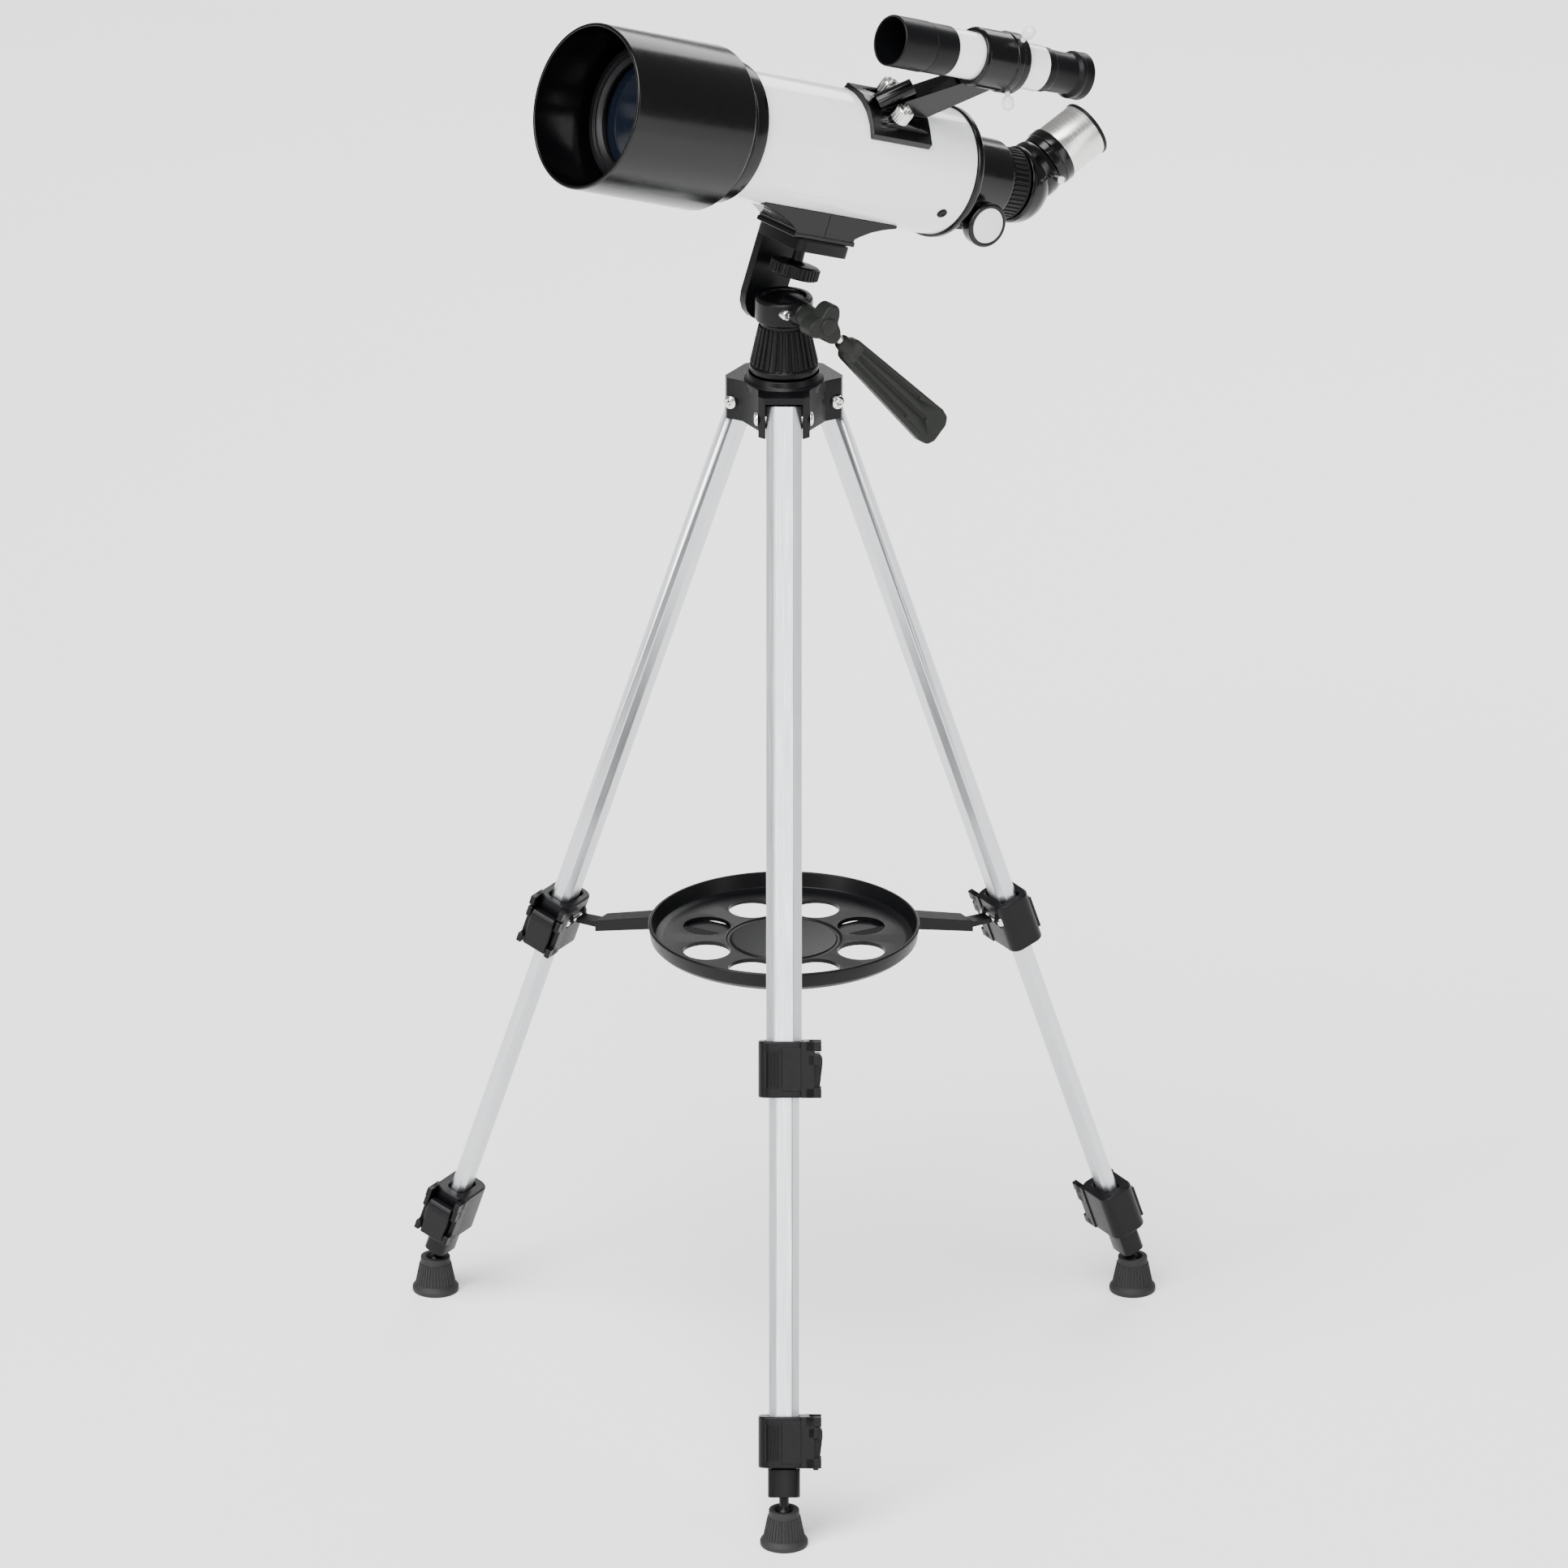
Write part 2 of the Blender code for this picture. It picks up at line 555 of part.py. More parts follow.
def build_saddle(ota, tilt):
    """The flared black saddle between the platform and the tube."""
    outline = [
        (-23 * MM, 45.4 * MM),
        (23 * MM, 45.4 * MM),
        (23 * MM, 50 * MM),
        (27 * MM, 52.5 * MM),
        (34 * MM, 56 * MM),
        (43 * MM, 59 * MM),
        (52 * MM, 61 * MM),
        (52 * MM, 70 * MM),
        (-52 * MM, 70 * MM),
        (-52 * MM, 61 * MM),
        (-43 * MM, 59 * MM),
        (-34 * MM, 56 * MM),
        (-27 * MM, 52.5 * MM),
        (-23 * MM, 50 * MM),
    ]
    saddle = prism("tube_saddle", outline, -19 * MM, 19 * MM, tilt, GLOSS_BLACK, "Y")
    bed = [(-70 * MM, 0), (-70 * MM, TUBE_RADIUS + GAP), (70 * MM, TUBE_RADIUS + GAP), (70 * MM, 0)]
    cut(saddle, turned("saddle_bed", bed, ota, GLOSS_BLACK, "X"))
    hole = [(40 * MM, 0), (40 * MM, 3.6 * MM), (54.6 * MM, 3.6 * MM), (54.6 * MM, 0)]
    cut(saddle, turned("saddle_hole", hole, tilt, GLOSS_BLACK, steps=16))


def build_tube(ota):
    """The tube, the dew shield, and the objective with its cell."""
    wall = 1.4 * MM
    tube = [
        (TUBE_REAR, TUBE_RADIUS),
        (TUBE_FRONT, TUBE_RADIUS),
        (TUBE_FRONT, TUBE_RADIUS - wall),
        (TUBE_REAR, TUBE_RADIUS - wall),
    ]
    turned("main_tube", tube, ota, WHITE, "X")
    rear = 83 * MM
    band = 43.5 * MM
    shield = [
        (rear, TUBE_RADIUS + GAP),
        (rear, band),
        (rear + 9 * MM, band),
        (rear + 16 * MM, SHIELD_RADIUS),
        (SHIELD_FRONT - 1 * MM, SHIELD_RADIUS),
        (SHIELD_FRONT, SHIELD_RADIUS - 1 * MM),
        (SHIELD_FRONT, SHIELD_RADIUS - 2.4 * MM),
        (rear + 17 * MM, SHIELD_RADIUS - 2.4 * MM),
        (rear + 12 * MM, TUBE_RADIUS + GAP),
    ]
    turned("dew_shield", shield, ota, GLOSS_BLACK, "X")
    cell = [
        (127 * MM, TUBE_RADIUS + GAP),
        (127 * MM, 44 * MM),
        (150 * MM, 44 * MM),
        (152 * MM, 42 * MM),
        (152 * MM, 37 * MM),
        (149 * MM, 33 * MM),
        (147.5 * MM, 33 * MM),
        (147.5 * MM, 35.6 * MM),
        (TUBE_FRONT + GAP, 35.6 * MM),
        (TUBE_FRONT + GAP, TUBE_RADIUS + GAP),
    ]
    turned("objective_cell", cell, ota, SATIN_BLACK, "X")
    lens = [(139.6 * MM, 0), (140.4 * MM, 18 * MM), (142.4 * MM, 35.2 * MM), (145 * MM, 35.2 * MM)]
    lens += [(146.6 * MM, 18 * MM), (147.1 * MM, 0)]
    turned("objective_lens", lens, ota, GLASS, "X")


def build_focuser(ota):
    """The focuser casting, its draw tube, and the pinion with its two knobs."""
    rear = -127 * MM
    bore = DRAW_RADIUS + GAP
    outline = [
        (rear, bore),
        (rear, 24 * MM),
        (rear + 1.5 * MM, 25 * MM),
        (TUBE_REAR - 8 * MM, 26 * MM),
        (TUBE_REAR - 6 * MM, 38.8 * MM),
        (TUBE_REAR - 4 * MM, 40.5 * MM),
        (TUBE_REAR - GAP, 40.5 * MM),
        (TUBE_REAR - GAP, 37.2 * MM),
        (TUBE_REAR + 12 * MM, 37.2 * MM),
        (TUBE_REAR + 12 * MM, 34 * MM),
        (TUBE_REAR + 2 * MM, bore),
    ]
    body = turned("focuser_body", outline, ota, GLOSS_BLACK, "X")
    housing = [
        (PINION_X - 13 * MM, -18.6 * MM),
        (PINION_X - 13 * MM, -24 * MM),
        (PINION_X - 9 * MM, -30 * MM),
        (PINION_X + 9 * MM, -32 * MM),
        (TUBE_REAR - 5 * MM, -32 * MM),
        (TUBE_REAR - 5 * MM, -18.6 * MM),
    ]
    fuse(body, prism("rack_housing", housing, -13 * MM, 13 * MM, ota, GLOSS_BLACK, "Y"))
    spot = (PINION_X, 0, -PINION_DROP)
    bearing = [(-30 * MM, 0), (-30 * MM, 2.8 * MM), (30 * MM, 2.8 * MM), (30 * MM, 0)]
    cut(body, turned("pinion_bearing", bearing, ota, GLOSS_BLACK, "Y", 16, spot))
    shaft = [(-33.6 * MM, 0), (-33.6 * MM, 2.4 * MM), (33.6 * MM, 2.4 * MM), (33.6 * MM, 0)]
    turned("pinion_shaft", shaft, ota, STEEL, "Y", 16, spot)
    for place, sign in (("left", 1), ("right", -1)):
        knob = [
            (sign * 26.4 * MM, 2.7 * MM),
            (sign * 26.4 * MM, 9 * MM),
            (sign * 28 * MM, 13 * MM),
            (sign * 36.5 * MM, 13.8 * MM),
            (sign * 37.5 * MM, 12.6 * MM),
            (sign * 37.5 * MM, 0),
            (sign * 33.9 * MM, 0),
            (sign * 33.9 * MM, 2.7 * MM),
        ]
        # The outline closes on the shaft's socket, so its first and last points meet there.
        knob = knob[6:] + knob[:6]
        turned("focus_knob_" + place, knob, ota, SATIN_BLACK, "Y", 28, spot)
    draw = [
        (rear - GAP, DRAW_RADIUS),
        (rear - GAP, 21.4 * MM),
        (rear - 1.5 * MM, 22 * MM),
        (rear - 14 * MM, 22 * MM),
        (rear - 15.5 * MM, 21.4 * MM),
        (rear - 15.5 * MM, 16.2 * MM),
        (-60 * MM, 16.2 * MM),
        (-60 * MM, DRAW_RADIUS),
    ]
    turned("draw_tube", draw, ota, SATIN_BLACK, "X")


def build_diagonal(ota):
    """The erecting diagonal, its prism, and the eyepiece."""
    front = -142.8 * MM
    outline = [
        (-121 * MM, 0),
        (-121 * MM, 15.8 * MM),
        (front, 15.8 * MM),
        (front, 22.5 * MM),
        (front - 1.5 * MM, 23.5 * MM),
        (front - 9 * MM, 23.5 * MM),
        (front - 15 * MM, 21 * MM),
        (front - 20 * MM, 15 * MM),
        (front - 22.5 * MM, 7 * MM),
        (front - 23 * MM, 0),
    ]
    housing = turned("diagonal_housing", outline, ota, GLOSS_BLACK, "X")
    eye = frame_at("eyepiece_axis", ota, (BEND_X, 0, 0), (0, math.radians(-45), 0))
    neck = [(13.2 * MM, 0), (13.2 * MM, 18 * MM), (22 * MM, 17 * MM), (22 * MM, 0)]
    fuse(housing, turned("diagonal_neck", neck, eye, GLOSS_BLACK))
    way_in = [(-160 * MM, 0), (-160 * MM, 13 * MM), (-110 * MM, 13 * MM), (-110 * MM, 0)]
    cut(housing, turned("diagonal_way_in", way_in, ota, GLOSS_BLACK, "X", 16))
    way_out = [
        (-4 * MM, 0),
        (-4 * MM, 11 * MM),
        (12 * MM, 11 * MM),
        (12 * MM, 13.6 * MM),
        (40 * MM, 13.6 * MM),
        (40 * MM, 0),
    ]
    cut(housing, turned("diagonal_way_out", way_out, eye, GLOSS_BLACK, steps=16))
    prism_faces = [
        (BEND_X + 7 * MM, -8 * MM),
        (BEND_X + 7 * MM, 7 * MM),
        (BEND_X - 2 * MM, 8 * MM),
        (BEND_X - 9 * MM, 1 * MM),
        (BEND_X - 9 * MM, -6 * MM),
        (BEND_X - 6 * MM, -8 * MM),
    ]
    prism("erecting_prism", prism_faces, -7.5 * MM, 7.5 * MM, ota, GLASS, "Y")
    barrel = [
        (13 * MM, 11.6 * MM),
        (13 * MM, 13.2 * MM),
        (22.4 * MM, 13.2 * MM),
        (22.4 * MM, 17.4 * MM),
        (28 * MM, 18.2 * MM),
        (33 * MM, 18.2 * MM),
        (33.6 * MM, 17.4 * MM),
        (58 * MM, 17.4 * MM),
        (58.4 * MM, 17.9 * MM),
        (60 * MM, 17.9 * MM),
        (60.6 * MM, 17.0 * MM),
        (58.6 * MM, 12.2 * MM),
        (40 * MM, 11.6 * MM),
    ]
    turned("eyepiece_barrel", barrel, eye, STEEL)
    lens = [(50 * MM, 0), (50.6 * MM, 11.2 * MM), (54 * MM, 11.2 * MM), (55 * MM, 0)]
    turned("eye_lens", lens, eye, GLASS, steps=SMALL_ROUND)


def build_finder(ota):
    """The finder telescope and its stalked bracket, leaning towards the handle's side."""
    lean = frame_at("finder_lean", ota, turn=(FINDER_LEAN, 0, 0))
    pad = [
        (-22 * MM, 28 * MM),
        (22 * MM, 28 * MM),
        (22 * MM, 36.8 * MM),
        (14 * MM, 40.2 * MM),
        (6 * MM, 43 * MM),
        (-6 * MM, 43 * MM),
        (-14 * MM, 40.2 * MM),
        (-22 * MM, 36.8 * MM),
    ]
    bracket = prism("finder_bracket", pad, -45 * MM, 1 * MM, lean, GLOSS_BLACK, "X")
    stalk = [
        (-6 * MM, 41 * MM),
        (-14 * MM, 47 * MM),
        (-52 * MM, FINDER_RISE - 15.7 * MM),
        (-76 * MM, FINDER_RISE - 15.7 * MM),
        (-42 * MM, 41 * MM),
    ]
    fuse(bracket, prism("finder_stalk", stalk, -5.5 * MM, 5.5 * MM, lean, GLOSS_BLACK, "Y"))
    sight = frame_at("finder_axis", lean, (0, 0, FINDER_RISE))
    ring = [
        (-80 * MM, 15.2 * MM),
        (-80 * MM, 17.5 * MM),
        (-78 * MM, 18.6 * MM),
        (-70 * MM, 18.6 * MM),
        (-69 * MM, 17.8 * MM),
        (-48 * MM, 17.8 * MM),
        (-46 * MM, 16.6 * MM),
        (-46 * MM, 15.2 * MM),
    ]
    fuse(bracket, turned("finder_ring", ring, sight, GLOSS_BLACK, "X", 28))
    bed = [(-70 * MM, 0), (-70 * MM, TUBE_RADIUS + GAP), (20 * MM, TUBE_RADIUS + GAP), (20 * MM, 0)]
    cut(bracket, turned("finder_bed", bed, ota, GLOSS_BLACK, "X"))
    tube = [
        (-98 * MM, 13.2 * MM),
        (-98 * MM, 14.4 * MM),
        (-26 * MM, 14.4 * MM),
        (-26 * MM, 13.2 * MM),
    ]
    turned("finder_tube", tube, sight, WHITE, "X", 28)
    hood = [
        (-36 * MM, 12.9 * MM),
        (-25.7 * MM, 12.9 * MM),
        (-25.7 * MM, 15.2 * MM),
        (-8 * MM, 15.2 * MM),
        (-7 * MM, 15.6 * MM),
        (17 * MM, 15.6 * MM),
        (17 * MM, 14.2 * MM),
        (-14 * MM, 14.2 * MM),
        (-14 * MM, 11.4 * MM),
        (-36 * MM, 11.4 * MM),
    ]
    turned("finder_hood", hood, sight, SATIN_BLACK, "X", 28)
    lens = [(-20 * MM, 0), (-19.6 * MM, 11 * MM), (-17 * MM, 11 * MM), (-16.2 * MM, 0)]
    turned("finder_lens", lens, sight, GLASS, "X", SMALL_ROUND)
    eyepiece = [
        (-90 * MM, 12.9 * MM),
        (-98.3 * MM, 12.9 * MM),
        (-98.3 * MM, 13.4 * MM),
        (-124 * MM, 12.4 * MM),
        (-126 * MM, 14.6 * MM),
        (-132 * MM, 14.6 * MM),
        (-134 * MM, 13.6 * MM),
        (-134 * MM, 7 * MM),
        (-128 * MM, 5 * MM),
        (-90 * MM, 5 * MM),
    ]
    turned("finder_eyepiece", eyepiece, sight, SATIN_BLACK, "X", 28)


def build():
    stand = frame_at("stand", place=(TRIPOD_X, TRIPOD_Y, 0))
    build_crown(stand)
    for place, azimuth in LEG_AZIMUTHS.items():
        build_leg(stand, place, azimuth)
    build_tray(stand)
    tilt = build_head(stand)
    ota = frame_at("optical_axis", tilt, (0, 0, OPTICAL_AXIS_RISE))
    build_saddle(ota, tilt)
    build_tube(ota)
    build_focuser(ota)
    build_diagonal(ota)
    build_finder(ota)


build()
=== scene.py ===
"""The finished look of a small refracting telescope on its field tripod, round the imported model."""

import json
import math

import bmesh
import bpy
from mathutils import Matrix, Vector


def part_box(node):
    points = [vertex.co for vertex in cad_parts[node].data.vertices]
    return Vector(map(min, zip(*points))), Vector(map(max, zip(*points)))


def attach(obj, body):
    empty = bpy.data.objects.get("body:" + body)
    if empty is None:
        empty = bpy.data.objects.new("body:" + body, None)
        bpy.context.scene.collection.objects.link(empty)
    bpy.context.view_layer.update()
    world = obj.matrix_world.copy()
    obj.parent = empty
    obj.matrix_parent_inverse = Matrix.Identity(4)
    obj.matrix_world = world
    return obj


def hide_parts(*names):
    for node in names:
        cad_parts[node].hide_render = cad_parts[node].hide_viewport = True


bl_info = {
    "name": "Field telescope",
    "version": (1, 0, 0),
    "blender": (4, 5, 0),
    "location": "3D View > Sidebar > Telescope",
    "description": "Makes the finished pieces of a small refractor on a tripod",
    "category": "Object",
}

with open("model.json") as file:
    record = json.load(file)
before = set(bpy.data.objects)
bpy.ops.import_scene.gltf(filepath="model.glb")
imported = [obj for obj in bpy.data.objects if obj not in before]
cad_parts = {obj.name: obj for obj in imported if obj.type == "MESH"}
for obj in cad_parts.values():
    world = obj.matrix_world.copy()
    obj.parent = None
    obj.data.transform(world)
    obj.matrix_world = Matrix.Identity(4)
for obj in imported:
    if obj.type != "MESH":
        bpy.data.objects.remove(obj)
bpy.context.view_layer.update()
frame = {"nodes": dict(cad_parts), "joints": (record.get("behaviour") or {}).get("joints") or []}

MM = 0.001
LEGS = ("front", "right", "left")
JOINTS = {joint["name"]: joint for joint in frame["joints"]}
FINE = 128
MEDIUM = 64
SMALL = 32


# Frames of the moving assemblies, worked out from the joints


def local_frame(origin, x_way, y_way):
    """A right-handed frame at origin, as a matrix."""
    x_axis = Vector(x_way).normalized()
    y_axis = Vector(y_way).normalized()
    z_axis = x_axis.cross(y_axis)
    made = Matrix((x_axis, y_axis, z_axis)).transposed().to_4x4()
    made.translation = Vector(origin)
    return made


OPTICAL_RISE = 97.5 * MM
BEND_X = -147 * MM
FINDER_RISE = 92 * MM
FINDER_LEAN = math.radians(-30)
HANDLE_SIDE = 40 * MM
FORK_RADIUS = 28 * MM
FORK_HEIGHT = 640 * MM
BRACE_RADIUS = 149 * MM
BRACE_HEIGHT = 274 * MM
LEG_SPLAY = math.radians(19.86)
UPPER_CLAMP_DROP = 391 * MM
LOWER_CLAMP_DROP = 615.5 * MM
PINION = Vector((-105 * MM, 0, -21.5 * MM))

tilt_joint = JOINTS["tilt"]
forward = JOINTS["diagonal_turn"]["axis"]
TILT = local_frame(tilt_joint["pos_m"], forward, tilt_joint["axis"])
OPTICAL = TILT @ Matrix.Translation((0, 0, OPTICAL_RISE))
LEAN = OPTICAL @ Matrix.Rotation(FINDER_LEAN, 4, "X")
FINDER = LEAN @ Matrix.Translation((0, 0, FINDER_RISE))
EYE = OPTICAL @ Matrix.Translation((BEND_X, 0, 0)) @ Matrix.Rotation(math.radians(-45), 4, "Y")
HANDLE = local_frame(
    TILT @ Vector((0, HANDLE_SIDE, 0)), JOINTS["handle_twist"]["axis"], tilt_joint["axis"]
)
STAND = Matrix.Translation((JOINTS["pan"]["pos_m"][0], JOINTS["pan"]["pos_m"][1], 0))
PAN = local_frame(
    JOINTS["pan"]["pos_m"],
    (forward[0], forward[1], 0),
    tilt_joint["axis"],
)


def leg_frame(place):
    """The leg's own frame: origin on its fork screw, Z up the leg, Y along the screw."""
    fold = JOINTS["leg_fold_" + place]
    up_leg = -Vector(JOINTS["mid_slide_" + place]["axis"])
    outward = Vector(fold["axis"]).cross(up_leg)
    return local_frame(fold["pos_m"], outward, fold["axis"])


def ankle_frame(place):
    """The foot's own frame: origin on its ankle, Z up, Y along the hinge."""
    fold = JOINTS["foot_tilt_" + place]
    outward = Vector(fold["axis"]).cross(Vector((0, 0, 1)))
    return local_frame(fold["pos_m"], outward, fold["axis"])


# Settings that a user would change


class FieldTelescopeColours(bpy.types.PropertyGroup):
    """The colours of the finishes, as sRGB hex values."""

    gloss_black: bpy.props.StringProperty(
        name="Gloss black", description="Polished ABS mouldings", default="#040405"
    )
    satin_black: bpy.props.StringProperty(
        name="Satin black", description="Spark-textured nylon mouldings", default="#08080a"
    )
    handle_grey: bpy.props.StringProperty(
        name="Handle grey", description="The pan handle's softer moulding", default="#181a17"
    )
    white_enamel: bpy.props.StringProperty(
        name="White enamel", description="Paint on the tubes", default="#f4f5f7"
    )
    aluminium: bpy.props.StringProperty(
        name="Aluminium", description="Drawn and anodised leg tubes", default="#c9cbce"
    )
    bright_metal: bpy.props.StringProperty(
        name="Bright metal", description="Nickel plate on screws and nuts", default="#dcdbd8"
    )
    rubber: bpy.props.StringProperty(
        name="Rubber", description="The moulded feet", default="#0c0c0c"
    )
    pale_cap: bpy.props.StringProperty(
        name="Pale cap", description="The discs on the focus knobs", default="#e3e3e1"
    )


class FieldTelescopeSizes(bpy.types.PropertyGroup):
    """Sizes of the fine detail."""

    collar_ribs: bpy.props.IntProperty(
        name="Collar ribs", description="Grip ribs round the draw tube's collar", default=44
    )
    pan_ribs: bpy.props.IntProperty(
        name="Pan collar ribs", description="Ribs round the pan lock collar", default=30
    )
    foot_ribs: bpy.props.IntProperty(
        name="Foot ribs", description="Fine ribs round each rubber foot", default=36
    )
    moulding_edge: bpy.props.FloatProperty(
        name="Moulding edge",
        description="Radius on the edges of the moulded pieces",
        default=0.7 * MM,
        unit="LENGTH",
    )
    tray_hole: bpy.props.FloatProperty(
        name="Tray hole", description="Radius of a hole in the tray", default=14.5 * MM, unit="LENGTH"
    )


class FieldTelescopeStudio(bpy.types.PropertyGroup):
    """The floor, the lights and the camera."""

    distance: bpy.props.FloatProperty(
        name="Camera distance", description="From the aim point", default=9.0, unit="LENGTH"
    )
    height_angle: bpy.props.FloatProperty(
        name="Height angle",
        description="The camera's angle above the horizon",
        default=math.radians(22),
        subtype="ANGLE",
    )
    field: bpy.props.FloatProperty(
        name="Field", description="Width of what the view takes in", default=0.954, unit="LENGTH"
    )
    aim_height: bpy.props.FloatProperty(
        name="Aim height", description="Height of the aim point", default=0.392, unit="LENGTH"
    )


# Materials


def linear(code):
    """An sRGB hex colour as linear RGBA."""
    values = [int(code[place : place + 2], 16) / 255 for place in (1, 3, 5)]
    turned_values = [v / 12.92 if v <= 0.04045 else ((v + 0.055) / 1.055) ** 2.4 for v in values]
    return (*turned_values, 1.0)


def shade(colour, factor):
    """The same colour, lighter or darker."""
    return (*(min(1.0, part * factor) for part in colour[:3]), 1.0)


def add_node(tree, kind, settings=None, **inputs):
    """Adds a node. An input is a value, or another node's output socket."""
    made = tree.nodes.new(kind)
    for name, value in (settings or {}).items():
        setattr(made, name, value)
    for name, value in inputs.items():
        key = int(name[1:]) if name[1:].isdigit() else name.replace("_", " ")
        socket = made.inputs[key]
        if isinstance(value, bpy.types.NodeSocket):
            tree.links.new(value, socket)
        else:
            socket.default_value = value
    return made


def surface(
    name,
    colour,
    roughness,
    metallic=0.0,
    coat=0.0,
    gleam=0.5,
    grain_mm=0.5,
    grain_height_mm=0.02,
    tone=0.06,
    tone_mm=25.0,
    polish=0.06,
    along=None,
    stretch=(1, 1, 1),
):
    """A finish with its own grain in relief, a slight drift of tone, and uneven polish."""
    made = bpy.data.materials.new(name)
    made.use_nodes = True
    tree = made.node_tree
    shader = tree.nodes["Principled BSDF"]
    shader.inputs["Metallic"].default_value = metallic
    shader.inputs["Specular IOR Level"].default_value = gleam
    shader.inputs["Coat Weight"].default_value = coat
    shader.inputs["Coat Roughness"].default_value = 0.06
    place = add_node(tree, "ShaderNodeTexCoord").outputs["Object"]
    if along is not None:
        turned_place = add_node(tree, "ShaderNodeMapping", {"vector_type": "TEXTURE"}, Vector=place)
        turned_place.inputs["Location"].default_value = along.translation
        turned_place.inputs["Rotation"].default_value = along.to_euler()
        turned_place.inputs["Scale"].default_value = stretch
        grain_place = turned_place.outputs["Vector"]
    else:
        grain_place = place
    grain = add_node(
        tree, "ShaderNodeTexNoise", Vector=grain_place, Scale=1000 / grain_mm, Detail=3.0,
        Roughness=0.55,
    )
    drift = add_node(tree, "ShaderNodeTexNoise", Vector=place, Scale=1000 / tone_mm, Detail=2.0)
    bump = add_node(
        tree, "ShaderNodeBump", Height=grain.outputs["Fac"], Strength=1.0,
        Distance=grain_height_mm * MM,
    )
    tree.links.new(bump.outputs["Normal"], shader.inputs["Normal"])
    mix = add_node(tree, "ShaderNodeMix", {"data_type": "RGBA"}, i0=drift.outputs["Fac"])
    mix.inputs[6].default_value = shade(colour, 1 - tone)
    mix.inputs[7].default_value = shade(colour, 1 + tone)
    tree.links.new(mix.outputs[2], shader.inputs["Base Color"])
    worn = add_node(
        tree, "ShaderNodeMapRange", Value=grain.outputs["Fac"], From_Min=0.3, From_Max=0.7,
        To_Min=max(0.02, roughness - polish), To_Max=roughness + polish,
    )
    tree.links.new(worn.outputs["Result"], shader.inputs["Roughness"])
    return made


def coated_glass():
    """Coated crown glass: nearly black seen through, with a painted pale blue-grey sheen in the base
    colour where it is seen at a slant.
    """
    made = bpy.data.materials.new("coated_glass")
    made.use_nodes = True
    tree = made.node_tree
    shader = tree.nodes["Principled BSDF"]
    shader.inputs["Roughness"].default_value = 0.03
    shader.inputs["IOR"].default_value = 1.52
    shader.inputs["Coat Weight"].default_value = 1.0
    shader.inputs["Coat Roughness"].default_value = 0.02
    # Painted reflection: the base colour turns from near black to pale blue-grey as the view angle grows
    # more slanted.
    facing = add_node(tree, "ShaderNodeLayerWeight", Blend=0.35)
    painted_sheen = add_node(tree, "ShaderNodeValToRGB", Fac=facing.outputs["Facing"])
    painted_sheen.color_ramp.elements[0].color = linear("#06070a")
    painted_sheen.color_ramp.elements[1].color = linear("#6f7c92")
    middle = painted_sheen.color_ramp.elements.new(0.5)
    middle.color = linear("#141a26")
    tree.links.new(painted_sheen.outputs["Color"], shader.inputs["Base Color"])
    return made


FINISH = {}


def make_finishes(colours):
    """One material for each real finish on the object."""
    # Polished ABS: deep black with long clear reflections and a faint flow ripple.
    gloss = linear(colours.gloss_black)
    FINISH["gloss_black"] = surface(
        "polished_abs", gloss, 0.19, gleam=0.3, grain_mm=6, grain_height_mm=0.015, polish=0.03,
    )
    # Spark-textured nylon: a fine even grain that breaks up the highlights.
    satin = linear(colours.satin_black)
    FINISH["satin_black"] = surface(
        "spark_textured_nylon", satin, 0.36, gleam=0.16, grain_mm=0.7, grain_height_mm=0.03,
        polish=0.08,
    )
    # Softer grained polypropylene of the pan handle, which looks olive grey.
    FINISH["handle_grey"] = surface(
        "grained_polypropylene", linear(colours.handle_grey), 0.52, gleam=0.18, grain_mm=0.9,
        grain_height_mm=0.05,
    )
    # Sprayed gloss enamel on steel: white with a slight orange peel.
    FINISH["white_enamel"] = surface(
        "sprayed_enamel", linear(colours.white_enamel), 0.2, coat=0.6, grain_mm=2.5,
        grain_height_mm=0.012, tone=0.015, polish=0.03,
    )
    # Moulded rubber with a talc-soft bloom.
    FINISH["rubber"] = surface(
        "moulded_rubber", linear(colours.rubber), 0.72, grain_mm=0.6, grain_height_mm=0.06,
        tone=0.15,
    )
    # Nickel-plated steel: bright, with faint turning marks.
    FINISH["bright_metal"] = surface(
        "nickel_plate", linear(colours.bright_metal), 0.16, metallic=1.0, grain_mm=0.4,
        grain_height_mm=0.004, polish=0.06,
    )
    # Acetal disc with a fine lay.
    FINISH["pale_cap"] = surface(
        "brushed_pale_disc", linear(colours.pale_cap), 0.34, grain_mm=0.5, tone=0.02,
        grain_height_mm=0.01,
    )
    # Drawn aluminium, anodised satin: hair-fine lines run down each tube.
    metal = linear(colours.aluminium)
    for place in LEGS:
        FINISH["aluminium_" + place] = surface(
            "drawn_aluminium_" + place, metal, 0.33, metallic=1.0, grain_mm=0.5,
            grain_height_mm=0.006, tone=0.03, tone_mm=60, polish=0.07, along=leg_frame(place),
            stretch=(1, 1, 90),
        )
    # Turned aluminium of the eyepiece: fine rings round the barrel.
    FINISH["turned_aluminium"] = surface(
        "turned_aluminium", linear(colours.bright_metal), 0.27, metallic=1.0, grain_mm=0.5,
        grain_height_mm=0.0015, tone=0.02, along=EYE, stretch=(60, 60, 1),
    )
    FINISH["glass"] = coated_glass()


# Shapes


